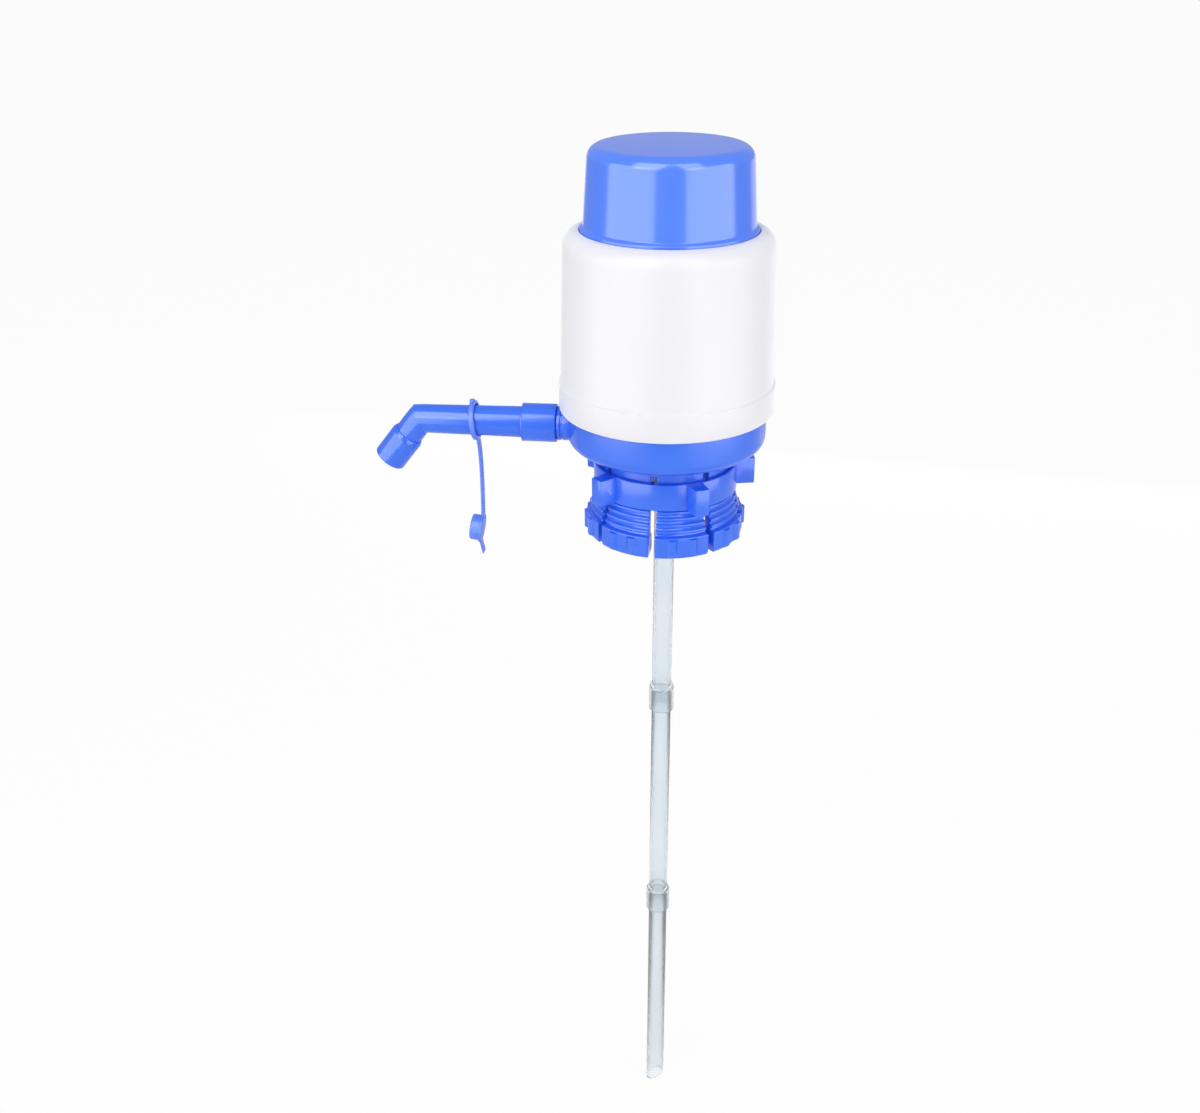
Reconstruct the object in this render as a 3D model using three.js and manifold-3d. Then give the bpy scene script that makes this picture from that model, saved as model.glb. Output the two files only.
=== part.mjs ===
// Hand pump for drinking water. Pressing the cap squeezes a bellows inside a round cover, the air
// goes down through the base, and the water rises through a dip tube and out of a bent spout.
// A slotted collet with a lugged clamp ring grips the neck that the pump stands on.
// Millimetres, +Z up. The origin is on the pump's axis, in the plane where the gasket seals.
// The spout points along -X. Angles round the axis are in degrees, from the front (-Y) towards +X.

import * as THREE from "three";
import { mergeVertices } from "three/addons/utils/BufferGeometryUtils.js";
import Module from "manifold-3d";

const wasm = await Module();
wasm.setup();

// Clearances and shared values
const seatGap = 0.3;
const slideGap = 0.6;
const overrun = 1.0;
const weld = 0.0001;
const roundSteps = 40;
const pipeSteps = 20;
const smallSteps = 8;

// Neck that the pump is made for
const neckRadius = 27.5;
const neckGrip = 0.4;

// Base drum
const baseFloorZ = 3.0;
const baseFloor = 3.0;
const baseRimRadius = 49.3;
const baseDraft = 0.3;
const baseWall = 2.4;
const baseFillet = 6.0;
const ledgeZ = 22.0;
const ledgeWidth = 2.3;
const chamferShare = 0.28;
const rimHeight = 11.0;
const beadRise = 6.0;
const beadHeight = 0.8;
const beadHalf = 1.4;

// Cover
const coverHeight = 86.7;
const coverTaper = 1.6;
const coverWall = 2.0;
const bandHeight = 13.5;
const bandStep = 1.0;
const shoulderHeight = 8.2;
const shoulderReach = 7.8;
const shoulderStart = 75.0;

// Push cap
const capHeight = 37.8;
const capStep = 2.0;
const capTaper = 1.8;
const capWall = 2.0;
const capCorner = 6.0;
const capLipHeight = 3.2;
const capLipTaper = 1.6;
const capGuideDrop = 9.7;
const capGuideStep = 2.4;

// Valve plate, bellows and spring
const plateThick = 2.4;
const sealThick = 1.4;
const bellowsWall = 1.1;
const bellowsFlange = 1.4;
const bellowsFolds = 9;
const portRim = 0.9;
const ringThick = 2.4;
const capPlateEase = 1.3;
const capPlateThick = 2.0;
const bossLength = 10.5;
const springEase = 2.1;
const springWire = 1.8;
const springTurns = 9;

// Radii inside the drum as shares of the radius of its rim
const bellowsRootShare = 0.5477;
const bellowsHeadShare = 0.6085;
const bellowsCrestShare = 0.6694;
const bellowsFootShare = 0.7302;
const ringScrewShare = 0.787;
const ringOuterShare = 0.8621;

// Valves
const valveRadius = 10.0;
const valveThick = 1.4;
const valveStemRadius = 1.5;
const valveBulbRadius = 2.5;
const valveBulb = 1.6;
const valveLift = 1.2;
const valvePortRadius = 1.9;
const valvePortCircleRadius = 6.2;
const valvePorts = 6;

// Screws
const screwShankRadius = 1.0;
const screwHeadRadius = 2.6;
const screwHead = 1.8;
const screwHoleGap = 0.35;
const bossWall = 1.5;
const screwTipGap = 2.1;
const ringScrews = 4;
const ringScrewTurn = 45.0;
const screwFingerShare = 1.5;
const capScrewLength = 9.0;
const capScrews = 3;
const colletScrewLength = 9.0;
const colletScrews = 4;

// Collet
const colletLength = 43.2;
const colletEase = 6.1;
const colletWall = 2.4;
const colletFlangeHeight = 11.2;
const colletFlangeStep = 5.8;
const colletFootStep = 0.7;
const colletFootHeight = 1.4;
const colletConeStep = 3.2;
const colletConeHeight = 12.4;
const colletRibHeight = 1.1;
const colletRibHalf = 1.15;
const colletRibs = 4;
const ribShare = 0.6;
const colletPadHeight = 8.0;
const colletPadRamp = 3.0;
const colletScrewInset = 2.7;
const colletBossDepth = 9.5;
const slitTopZ = -2.2;
const slitWidth = 3.2;
const slits = 8;
const slitTurn = -5.5;
const teeth = 24;
const toothHeight = 1.0;
const toothHalf = 1.8;

// Clamp ring
const clampTopZ = -5.7;
const clampWall = 1.5;
const clampGap = 0.8;
const lugReach = 8.8;
const lugWidth = 7.0;
const lugDraft = 0.5;
const lugs = 5;
const lugTurn = 27.5;

// Neck gasket
const gasketRim = 8.5;
const gasketRib = 1.8;
const gasketRibDepth = 1.8;

// Water way
const spoutZ = 10.6;
const waterBore = 4.6;
const ductWall = 2.6;
const hubWall = 0.2;
const hubCap = 0.4;
const socketDepth = 17.0;
const airHoleRadius = 2.4;
const airHoles = 2;

// Dip tube
const tubeRadius = 5.25;
const tubeWall = 1.25;
const tubeLength = 151.7;
const tubeSocket = 13.0;
const tubeSocketWall = 1.2;
const tubeTaper = 4.0;
const tubeCut = 6.0;
const tubeSteps = 16;

// Spout
const pipeHeadRadius = 7.9;
const pipeTaper = 0.7;
const pipeWall = 1.6;
const spigotReach = 4.9;
const spigotStep = 0.6;
const spigotNose = 10.1;
const spigotEase = 0.05;
const couplingWall = 1.6;
const couplingLength = 17.4;
const couplingChamfer = 0.7;
const elbowReach = 59.6;
const elbowBend = 7.8;
const elbowAngle = 52.0;
const elbowSteps = 6;
const nozzleLength = 17.9;
const nozzleSetback = 10.3;
const nozzleStep = 1.1;
const nozzleWall = 1.3;
const pipeNose = 11.0;
const ringSealRadius = 0.6;
const ringSealProud = 0.1;
const ringSealGroove = 2.4;
const ringSealDepth = 1.4;
const ringSealSetback = 3.5;

// Spout plug and its tether
const tetherReach = 31.6;
const tetherGap = 0.4;
const tetherWidth = 2.6;
const tetherWall = 1.7;
const tetherTilt = 7.0;
const knobRadius = 1.4;
const knobHeight = 1.1;
const strapLength = 43.2;
const strapThick = 1.6;
const strapWidth = 4.4;
const strapDrift = 3.1;
const strapBow = 0.9;
const strapBend = 8.0;
const plugRim = 0.8;
const plugDisc = 1.6;
const plugLength = 4.8;
const plugTilt = 8.0;
const plugTab = 6.2;
const plugTabWidth = 5.0;
const plugTabThick = 0.9;
const plugTabBend = 20.0;

// Worked out from the sizes above
const radians = THREE.MathUtils.degToRad;
const baseFootRadius = baseRimRadius - baseDraft;
const baseInnerRadius = baseRimRadius - baseWall;
const chamberRadius = baseInnerRadius - ledgeWidth;
const baseFloorTopZ = baseFloorZ + baseFloor;
const baseRimZ = ledgeZ + rimHeight;
const beadZ = ledgeZ + beadRise;
const coverZ = ledgeZ;
const coverTopZ = coverZ + coverHeight;
const bandTopZ = coverZ + bandHeight;
const coverFootRadius = baseRimRadius + seatGap + coverWall;
const coverHeadRadius = coverFootRadius - coverTaper;
const openingRadius = coverHeadRadius - shoulderReach;
const capTopZ = coverTopZ + capHeight;
const capFootRadius = openingRadius - capStep;
const capHeadRadius = capFootRadius - capTaper;
const capGuideZ = coverTopZ - capGuideDrop;
const capGuideRadius = openingRadius + capGuideStep;
const bellowsRootRadius = bellowsRootShare * baseRimRadius;
const bellowsHeadRadius = bellowsHeadShare * baseRimRadius;
const bellowsCrestRadius = bellowsCrestShare * baseRimRadius;
const bellowsFootRadius = bellowsFootShare * baseRimRadius;
const ringScrewCircle = ringScrewShare * baseRimRadius;
const ringOuterRadius = ringOuterShare * baseRimRadius;
const bellowsPortRadius = valvePortCircleRadius + valvePortRadius + portRim;
const capPlateRadius = bellowsRootRadius - bellowsWall - capPlateEase;
const springRadius = capPlateRadius - springEase;
const capScrewCircle = (valveRadius + springRadius) / 2;
const plateZ = ledgeZ + seatGap + sealThick + seatGap;
const plateTopZ = plateZ + plateThick;
const plateRadius = baseInnerRadius - seatGap;
const bellowsZ = plateTopZ + seatGap;
const ringZ = bellowsZ + bellowsFlange + seatGap;
const ringTopZ = ringZ + ringThick;
const capCeilingZ = capTopZ - capWall;
const bossEndZ = capCeilingZ - bossLength;
const bellowsTopZ = bossEndZ - seatGap;
const capPlateTopZ = bellowsTopZ - bellowsFlange - seatGap;
const capPlateZ = capPlateTopZ - capPlateThick;
const colletTopZ = baseFloorZ - seatGap;
const colletFootZ = -colletLength;
const colletFlangeZ = colletFootZ + colletFlangeHeight;
const colletConeTopZ = colletFlangeZ + colletConeHeight;
const colletRadius = neckRadius + colletEase;
const colletConeRadius = colletRadius + colletConeStep;
const colletFlangeRadius = colletRadius + colletFlangeStep;
const colletFootRadius = colletFlangeRadius - colletFootStep;
const colletScrewCircle = colletRadius - colletScrewInset;
const clampFootZ = colletConeTopZ + seatGap;
const clampHeight = clampTopZ - clampFootZ;
const clampInnerRadius = colletRadius + clampGap;
const clampOuterRadius = clampInnerRadius + clampWall;
const gasketOuterRadius = neckRadius;
const gasketInnerRadius = neckRadius - gasketRim;
const gasketThick = baseFloorZ - seatGap;
const ductRadius = waterBore + ductWall;
const hubRadius = ductRadius + hubWall;
const hubTopZ = spoutZ + ductRadius + hubCap;
const socketRadius = tubeRadius + seatGap + tubeSocketWall;
const airHoleCircle = (socketRadius + gasketInnerRadius - seatGap - gasketRib) / 2;
const screwHoleRadius = screwShankRadius + screwHoleGap;
const bossRadius = screwHoleRadius + bossWall;
const bossFootZ = baseFloorTopZ + baseFloor;
const ringScrewLength = ringTopZ + seatGap - bossFootZ - screwTipGap;
const spigotNoseRadius = pipeHeadRadius - spigotEase;
const spigotRadius = spigotNoseRadius + spigotStep;
const spigotEndX = baseFootRadius + spigotReach;
const spigotNoseX = spigotEndX + spigotNose;
const couplingBore = pipeHeadRadius + seatGap;
const couplingRadius = couplingBore + couplingWall;
const pipeTailRadius = pipeHeadRadius - pipeTaper;
const pipeStartX = spigotNoseX + seatGap;
const nozzleRadius = pipeTailRadius + nozzleStep;
const nozzleInnerRadius = nozzleRadius - nozzleWall;
const slantLength = nozzleLength + nozzleSetback;
const tetherX = pipeStartX + tetherReach;

// Materials
const blueGloss = { color: 0x3f74f6, roughness: 0.32, metalness: 0 };
const blueCap = { color: 0x5c8df8, roughness: 0.28, metalness: 0 };
const whiteSatin = { color: 0xf3f3f6, roughness: 0.4, metalness: 0 };
const whiteInner = { color: 0xe9ebee, roughness: 0.5, metalness: 0 };
const softClear = { color: 0xd9e0ea, roughness: 0.45, metalness: 0 };
const softBlue = { color: 0x7d98f0, roughness: 0.45, metalness: 0 };
const tubeClear = { color: 0xdfe8ef, roughness: 0.3, metalness: 0 };
const sealGrey = { color: 0xc9ccd2, roughness: 0.6, metalness: 0 };
const steel = { color: 0xb9bcc0, roughness: 0.3, metalness: 1 };

// A closed mesh as a solid for joining and cutting.
function solidOf(geometry) {
  const bare = geometry.clone();
  bare.deleteAttribute("normal");
  bare.deleteAttribute("uv");
  const merged = mergeVertices(bare, weld);
  const index = merged.index.array;
  const kept = [];
  for (let i = 0; i < index.length; i += 3) {
    const [a, b, c] = [index[i], index[i + 1], index[i + 2]];
    if (a !== b && b !== c && a !== c) kept.push(a, b, c);
  }
  const vertProperties = new Float32Array(merged.attributes.position.array);
  const mesh = new wasm.Mesh({ numProp: 3, vertProperties, triVerts: new Uint32Array(kept) });
  return new wasm.Manifold(mesh);
}

// A solid as a named mesh.
function meshOf(name, solid, look) {
  const { vertProperties, triVerts } = solid.getMesh();
  const geometry = new THREE.BufferGeometry();
  geometry.setAttribute("position", new THREE.BufferAttribute(vertProperties, 3));
  geometry.setIndex(new THREE.BufferAttribute(triVerts, 1));
  geometry.computeVertexNormals();
  const mesh = new THREE.Mesh(geometry, new THREE.MeshStandardMaterial(look));
  mesh.name = name;
  return mesh;
}

// Revolves a closed outline of [radius, height] points about Z. The first step is at the front.
function revolved(points, steps = roundSteps, turn = 0) {
  const loop = points.map(([radius, height]) => new THREE.Vector2(radius, height));
  if (THREE.ShapeUtils.area(loop) < 0) loop.reverse();
  loop.push(loop[0].clone());
  const geometry = new THREE.LatheGeometry(loop, steps, radians(turn));
  geometry.rotateX(Math.PI / 2);
  return geometry;
}

const turned = (points, steps, turn) => solidOf(revolved(points, steps, turn));

// A tube between two heights, or a rod where the inner radius is zero.
function tube(outer, inner, low, high, steps = roundSteps) {
  return turned([[inner, low], [outer, low], [outer, high], [inner, high]], steps);
}

const rod = (radius, low, high, steps = smallSteps) => tube(radius, 0, low, high, steps);

// A box given by its lowest and highest corners.
function block(low, high) {
  const size = high.map((value, axis) => value - low[axis]);
  const centre = high.map((value, axis) => (value + low[axis]) / 2);
  return solidOf(new THREE.BoxGeometry(...size).translate(...centre));
}

// The place at a given radius, angle from the front, and height.
function polar(radius, angle, height = 0) {
  const a = radians(angle);
  return [radius * Math.sin(a), -radius * Math.cos(a), height];
}

const spread = (count, first) => Array.from({ length: count }, (_, i) => first + (360 * i) / count);

// Points of a quarter ellipse from angle a0 to a1, in degrees.
function arc(centreR, centreZ, radiusR, radiusZ, a0, a1, count) {
  return Array.from({ length: count + 1 }, (_, i) => {
    const a = radians(a0 + ((a1 - a0) * i) / count);
    return [centreR + radiusR * Math.cos(a), centreZ + radiusZ * Math.sin(a)];
  });
}

// Turns what is built along +Z so that it runs along -X at the height of the spout.
function alongSpout(solid) {
  return solid.rotate([0, -90, 0]).translate([0, 0, spoutZ]);
}

function outerCover() {
  const innerHead = coverHeadRadius - coverWall;
  const shoulderZ = coverTopZ - shoulderHeight;
  const innerReach = innerHead - openingRadius;
  const innerRise = shoulderHeight - coverWall;
  const rimFit = baseRimRadius + seatGap;
  const stopZ = baseRimZ + seatGap;
  const innerFoot = coverFootRadius - coverWall - slideGap;
  const groove = rimFit + beadHeight;
  const outline = [
    [coverFootRadius + bandStep, coverZ],
    [coverFootRadius + bandStep, bandTopZ],
    [coverFootRadius, bandTopZ + bandStep],
    ...arc(openingRadius, shoulderZ, coverHeadRadius - openingRadius, shoulderHeight, 0, 90, 5),
    [openingRadius, coverTopZ - coverWall],
    ...arc(openingRadius, shoulderZ, innerReach, innerRise, shoulderStart, 0, 3),
    [innerFoot, stopZ],
    [rimFit, stopZ],
    [rimFit, beadZ + beadHalf + seatGap],
    [groove, beadZ + seatGap],
    [groove, beadZ - seatGap],
    [rimFit, beadZ - beadHalf - seatGap],
    [rimFit, coverZ],
  ];
  return turned(outline);
}

function pushCap() {
  const lipRadius = openingRadius - slideGap;
  const lipTopZ = coverTopZ + capLipHeight;
  const stopZ = coverTopZ - coverWall - slideGap;
  const cornerZ = capTopZ - capCorner;
  const innerCorner = capCorner - capWall;
  const outline = [
    [capGuideRadius, capGuideZ],
    [capGuideRadius, stopZ - capWall],
    [lipRadius + slideGap, stopZ],
    [lipRadius, stopZ],
    [lipRadius, lipTopZ - capLipTaper],
    [capFootRadius, lipTopZ],
    ...arc(capHeadRadius - capCorner, cornerZ, capCorner, capCorner, 0, 90, 4),
    [0, capTopZ],
    [0, capCeilingZ],
    ...arc(capHeadRadius - capCorner, cornerZ, innerCorner, innerCorner, 90, 0, 2),
    [capFootRadius - capWall, lipTopZ],
    [lipRadius - capWall, stopZ - capWall],
    [capGuideRadius - capWall, capGuideZ + capWall],
    [capGuideRadius - capWall, capGuideZ],
  ];
  let cap = turned(outline);
  for (const angle of spread(capScrews, 0)) {
    const place = polar(capScrewCircle, angle);
    cap = cap.add(rod(bossRadius, bossEndZ, capCeilingZ + capWall / 2).translate(place));
    cap = cap.subtract(rod(screwHoleRadius, bossEndZ - overrun, capCeilingZ).translate(place));
  }
  return cap;
}

// A flat plate with a guide hole for a valve stem and a ring of ports round it.
function valvedPlate(radius, low, thick, steps) {
  let plate = rod(radius, low, low + thick, steps);
  plate = plate.subtract(rod(valveStemRadius + seatGap, low - overrun, low + thick + overrun));
  for (const angle of spread(valvePorts, 0)) {
    const port = rod(valvePortRadius, low - overrun, low + thick + overrun);
    plate = plate.subtract(port.translate(polar(valvePortCircleRadius, angle)));
  }
  return plate;
}

function drilled(solid, circle, count, first, low, high) {
  return spread(count, first).reduce(
    (rest, angle) => rest.subtract(rod(screwHoleRadius, low, high).translate(polar(circle, angle))),
    solid,
  );
}

function valvePlate() {
  const guideTopZ = plateTopZ + plateThick;
  const guideRadius = springRadius - 2 * springWire;
  let plate = valvedPlate(plateRadius, plateZ, plateThick, roundSteps);
  plate = plate.add(tube(guideRadius, guideRadius - plateThick, plateTopZ - seatGap, guideTopZ));
  return drilled(plate, ringScrewCircle, ringScrews, ringScrewTurn, plateZ - overrun, guideTopZ);
}

function capPlate() {
  const plate = valvedPlate(capPlateRadius, capPlateZ, capPlateThick, roundSteps);
  return drilled(plate, capScrewCircle, capScrews, 0, capPlateZ - overrun, capPlateTopZ + overrun);
}

// A disc valve under its plate, with a stem through the plate and a bulb that keeps it there.
function discValve(low, high) {
  const bulbZ = high + valveLift + seatGap;
  const discZ = low - seatGap;
  return turned([
    [0, discZ - valveThick],
    [valveRadius, discZ - valveThick / 2],
    [valveRadius, discZ],
    [valveStemRadius, discZ],
    [valveStemRadius, bulbZ],
    [valveBulbRadius, bulbZ],
    [valveStemRadius, bulbZ + valveBulb],
    [0, bulbZ + valveBulb],
  ], smallSteps);
}

function bellows() {
  const foldZ = bellowsZ + bellowsFlange;
  const pitch = (bellowsTopZ - bellowsFlange - foldZ - ringThick - seatGap) / bellowsFolds;
  const firstZ = foldZ + ringThick + seatGap;
  const outside = [];
  const inside = [];
  for (let fold = 0; fold < bellowsFolds; fold += 1) {
    const rootZ = firstZ + fold * pitch;
    outside.push([bellowsRootRadius, rootZ], [bellowsCrestRadius, rootZ + pitch / 2]);
    inside.push([bellowsRootRadius - bellowsWall, rootZ]);
    inside.push([bellowsCrestRadius - bellowsWall, rootZ + pitch / 2]);
  }
  const outline = [
    [bellowsRootRadius - bellowsWall, bellowsZ],
    [bellowsFootRadius, bellowsZ],
    [bellowsFootRadius, foldZ],
    [bellowsRootRadius, foldZ],
    ...outside,
    [bellowsRootRadius, bellowsTopZ - bellowsFlange],
    [bellowsHeadRadius, bellowsTopZ - bellowsFlange],
    [bellowsHeadRadius, bellowsTopZ],
    [bellowsPortRadius, bellowsTopZ],
    [bellowsPortRadius, bellowsTopZ - bellowsFlange],
    [bellowsRootRadius - bellowsWall, bellowsTopZ - bellowsFlange],
    ...inside.reverse(),
  ];
  const body = turned(outline, pipeSteps);
  const flangeZ = bellowsTopZ - bellowsFlange;
  return drilled(body, capScrewCircle, capScrews, 0, flangeZ - overrun, bellowsTopZ + overrun);
}

// The helix of the return spring, from the valve plate up to the cap plate.
class Helix extends THREE.Curve {
  getPoint(t, target = new THREE.Vector3()) {
    const low = plateTopZ + seatGap + springWire / 2;
    const high = capPlateZ - seatGap - springWire / 2;
    const a = 2 * Math.PI * springTurns * t;
    return target.set(springRadius * Math.cos(a), springRadius * Math.sin(a), low + (high - low) * t);
  }
}

function returnSpring() {
  const sides = 5;
  const steps = 8 * springTurns;
  const section = new THREE.Shape(
    Array.from({ length: sides }, (_, i) => {
      const a = (2 * Math.PI * i) / sides;
      return new THREE.Vector2((springWire / 2) * Math.cos(a), (springWire / 2) * Math.sin(a));
    }),
  );
  const helix = new Helix();
  const points = helix.getPoints(steps);
  let least = Infinity;
  for (let i = 0; i < points.length; i += 1) {
    for (let j = i + 6; j < points.length; j += 1) least = Math.min(least, points[i].distanceTo(points[j]));
  }
  console.log(`return_spring least gap to itself ${(least - springWire).toFixed(2)} mm`);
  return solidOf(new THREE.ExtrudeGeometry(section, { steps, bevelEnabled: false, extrudePath: helix }));
}

function bellowsRing() {
  const ring = tube(ringOuterRadius, bellowsRootRadius + seatGap, ringZ, ringTopZ);
  return drilled(ring, ringScrewCircle, ringScrews, ringScrewTurn, ringZ - overrun, ringTopZ + overrun);
}

// A pan-head screw with its head's underside at height zero and its point down.
function screw(length) {
  return turned([
    [0, -length],
    [screwShankRadius, -length + screwHead],
    [screwShankRadius, 0],
    [screwHeadRadius, 0],
    [screwHeadRadius, screwHead / 2],
    [screwHeadRadius / 2, screwHead],
    [0, screwHead],
  ], smallSteps);
}

// The spigot that the spout pushes on to, with the groove of its ring seal.
function spigot() {
  const grooveEnd = spigotNoseX - ringSealSetback;
  const grooveStart = grooveEnd - ringSealGroove;
  const grooveRadius = spigotNoseRadius - ringSealDepth;
  return alongSpout(turned([
    [0, baseFootRadius - baseWall],
    [spigotRadius, baseFootRadius - baseWall],
    [spigotRadius, spigotEndX],
    [spigotNoseRadius, spigotEndX],
    [spigotNoseRadius, grooveStart],
    [grooveRadius, grooveStart],
    [grooveRadius, grooveEnd],
    [spigotNoseRadius, grooveEnd],
    [spigotNoseRadius, spigotNoseX],
    [0, spigotNoseX],
  ], pipeSteps));
}

function pumpBase() {
  const screwRoom = chamberRadius - colletScrewCircle - screwHeadRadius;
  const floorChamfer = chamferShare * screwRoom;
  const outline = [
    [0, baseFloorZ],
    ...arc(baseFootRadius - baseFillet, baseFloorZ + baseFillet, baseFillet, baseFillet, -90, 0, 4),
    [baseRimRadius, coverZ],
    [baseRimRadius, beadZ - beadHalf],
    [baseRimRadius + beadHeight, beadZ],
    [baseRimRadius, beadZ + beadHalf],
    [baseRimRadius, baseRimZ],
    [baseInnerRadius, baseRimZ],
    [baseInnerRadius, ledgeZ],
    [chamberRadius, ledgeZ],
    [chamberRadius, baseFloorTopZ + floorChamfer],
    [chamberRadius - floorChamfer, baseFloorTopZ],
    [0, baseFloorTopZ],
  ];
  let base = turned(outline);
  base = base.add(rod(hubRadius, baseFloorZ, hubTopZ, pipeSteps));
  base = base.add(rod(socketRadius, baseFloorZ - socketDepth, baseFloorZ + overrun, pipeSteps));
  base = base.add(alongSpout(rod(ductRadius, 0, baseFootRadius - baseWall / 2, pipeSteps)));
  base = base.add(spigot());
  const ribOuter = gasketInnerRadius - seatGap;
  base = base.add(tube(ribOuter, ribOuter - gasketRib, baseFloorZ - gasketRibDepth, baseFloorZ + overrun));
  for (const angle of spread(ringScrews, ringScrewTurn)) {
    const place = polar(ringScrewCircle, angle);
    base = base.add(rod(bossRadius, baseFloorTopZ - overrun, plateZ - seatGap).translate(place));
    base = base.subtract(rod(screwHoleRadius, bossFootZ, plateZ).translate(place));
  }
  base = base.subtract(rod(tubeRadius - tubeWall, -baseFloorZ, spoutZ, pipeSteps));
  base = base.subtract(rod(tubeRadius + seatGap, baseFloorZ - socketDepth - overrun, -overrun, pipeSteps));
  base = base.subtract(alongSpout(rod(waterBore, -waterBore / 2, spigotNoseX + overrun, pipeSteps)));
  const bottomZ = baseFloorZ - overrun;
  const aboveFloorZ = baseFloorTopZ + overrun;
  base = drilled(base, colletScrewCircle, colletScrews, colletScrewTurn(), bottomZ, aboveFloorZ);
  for (const angle of spread(airHoles, 0)) {
    const hole = rod(airHoleRadius, bottomZ - overrun, aboveFloorZ);
    base = base.subtract(hole.translate(polar(airHoleCircle, angle)));
  }
  return base;
}

// The collet's screws stand in the middle of every second finger, clear of the duct.
function colletScrewTurn() {
  return slitTurn + (screwFingerShare * 360) / slits;
}

// Gathers the steps of the revolved collet in threes, so that each third one is the crest of a
// grip tooth with its two feet close beside it.
function toothed(geometry, steps) {
  const position = geometry.attributes.position;
  const pitch = 360 / teeth;
  for (let i = 0; i < position.count; i += 1) {
    const [x, y, z] = [position.getX(i), position.getY(i), position.getZ(i)];
    const radius = Math.hypot(x, y);
    const angle = THREE.MathUtils.radToDeg(Math.atan2(x, -y)) - slitTurn;
    const step = ((Math.round((angle * steps) / 360) % steps) + steps) % steps;
    const part = (step + 1) % 3;
    const tooth = Math.floor((step + 1) / 3);
    const onFace = radius > colletFlangeRadius - overrun && z < colletFlangeZ - overrun;
    const reach = radius + (onFace && part === 1 ? toothHeight : 0);
    const [px, py] = polar(reach, slitTurn + tooth * pitch + (part - 1) * toothHalf);
    position.setXYZ(i, px, py, z);
  }
  return geometry;
}

function neckCollet() {
  const inner = colletRadius - colletWall;
  const padRadius = neckRadius + neckGrip;
  const ribPitch = colletConeHeight / colletRibs;
  const ribs = [];
  for (let rib = 0; rib < colletRibs; rib += 1) {
    const z = colletFlangeZ + (rib + ribShare) * ribPitch;
    const share = (z - colletFlangeZ) / colletConeHeight;
    const skin = colletConeRadius + (colletRadius - colletConeRadius) * share;
    ribs.push([skin, z - colletRibHalf], [skin + colletRibHeight, z], [skin, z + colletRibHalf]);
  }
  const outline = [
    [padRadius, colletFootZ],
    [colletFootRadius, colletFootZ],
    [colletFlangeRadius, colletFootZ + colletFootHeight],
    [colletFlangeRadius, colletFlangeZ - colletFootHeight / 2],
    [colletConeRadius, colletFlangeZ],
    ...ribs,
    [colletRadius, colletConeTopZ + colletRibHalf],
    [colletRadius, colletTopZ],
    [inner, colletTopZ],
    [inner, colletFootZ + colletPadHeight + colletPadRamp],
    [padRadius, colletFootZ + colletPadHeight],
  ];
  const steps = 3 * teeth;
  let collet = solidOf(toothed(revolved(outline, steps, slitTurn), steps));
  for (const angle of spread(slits, slitTurn)) {
    const low = [-slitWidth / 2, -(colletFlangeRadius + toothHeight + overrun), colletFootZ - overrun];
    const high = [slitWidth / 2, -(padRadius - overrun), slitTopZ];
    collet = collet.subtract(block(low, high).rotate([0, 0, angle]));
  }
  for (const angle of spread(colletScrews, colletScrewTurn())) {
    const boss = rod(bossRadius - screwHoleGap, colletTopZ - colletBossDepth, colletTopZ);
    collet = collet.add(boss.translate(polar(colletScrewCircle, angle)));
  }
  const holeZ = colletTopZ - colletBossDepth + overrun;
  return drilled(collet, colletScrewCircle, colletScrews, colletScrewTurn(), holeZ, colletTopZ + overrun);
}

function clampRing() {
  let ring = tube(clampOuterRadius, clampInnerRadius, clampFootZ, clampTopZ);
  const root = clampInnerRadius + clampWall / 2;
  const tip = clampOuterRadius + lugReach;
  const outline = new THREE.Shape([
    new THREE.Vector2(-lugWidth / 2 - lugDraft, -root),
    new THREE.Vector2(-lugWidth / 2, -tip),
    new THREE.Vector2(lugWidth / 2, -tip),
    new THREE.Vector2(lugWidth / 2 + lugDraft, -root),
  ]);
  const lug = new THREE.ExtrudeGeometry(outline, { depth: clampHeight, bevelEnabled: false });
  const lugSolid = solidOf(lug.translate(0, 0, clampFootZ));
  for (const angle of spread(lugs, lugTurn)) ring = ring.add(lugSolid.rotate([0, 0, angle]));
  return ring;
}

function neckGasket() {
  return tube(gasketOuterRadius, gasketInnerRadius, 0, gasketThick, roundSteps);
}

function plateSeal() {
  const low = ledgeZ + seatGap;
  return tube(plateRadius, plateRadius - ledgeWidth + seatGap, low, low + sealThick);
}

// One length of dip tube with its top at height zero. All but the lowest end in a socket.
function dipTube(last) {
  const bore = tubeRadius - tubeWall;
  if (last) {
    const whole = tube(tubeRadius, bore, -tubeLength, 0, tubeSteps);
    const wedge = block([-socketRadius, -socketRadius, -tubeCut], [socketRadius, socketRadius, 0]);
    const tilt = THREE.MathUtils.radToDeg(Math.atan2(tubeCut, 2 * socketRadius));
    return whole.subtract(wedge.rotate([0, tilt, 0]).translate([0, 0, -tubeLength]));
  }
  const socketZ = -tubeLength + tubeSocket;
  const socketBore = tubeRadius + seatGap;
  return turned([
    [bore, 0],
    [tubeRadius, 0],
    [tubeRadius, socketZ + tubeTaper],
    [socketBore + tubeSocketWall, socketZ],
    [socketBore + tubeSocketWall, -tubeLength],
    [socketBore, -tubeLength],
    [socketBore, socketZ],
    [bore, socketZ],
  ], tubeSteps);
}

function spoutSeal() {
  const centreS = spigotNoseX - ringSealSetback - ringSealGroove / 2;
  const centreR = spigotNoseRadius - ringSealRadius + ringSealProud;
  return alongSpout(turned(arc(centreR, centreS, ringSealRadius, ringSealRadius, 0, 300, 5), pipeSteps));
}

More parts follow.
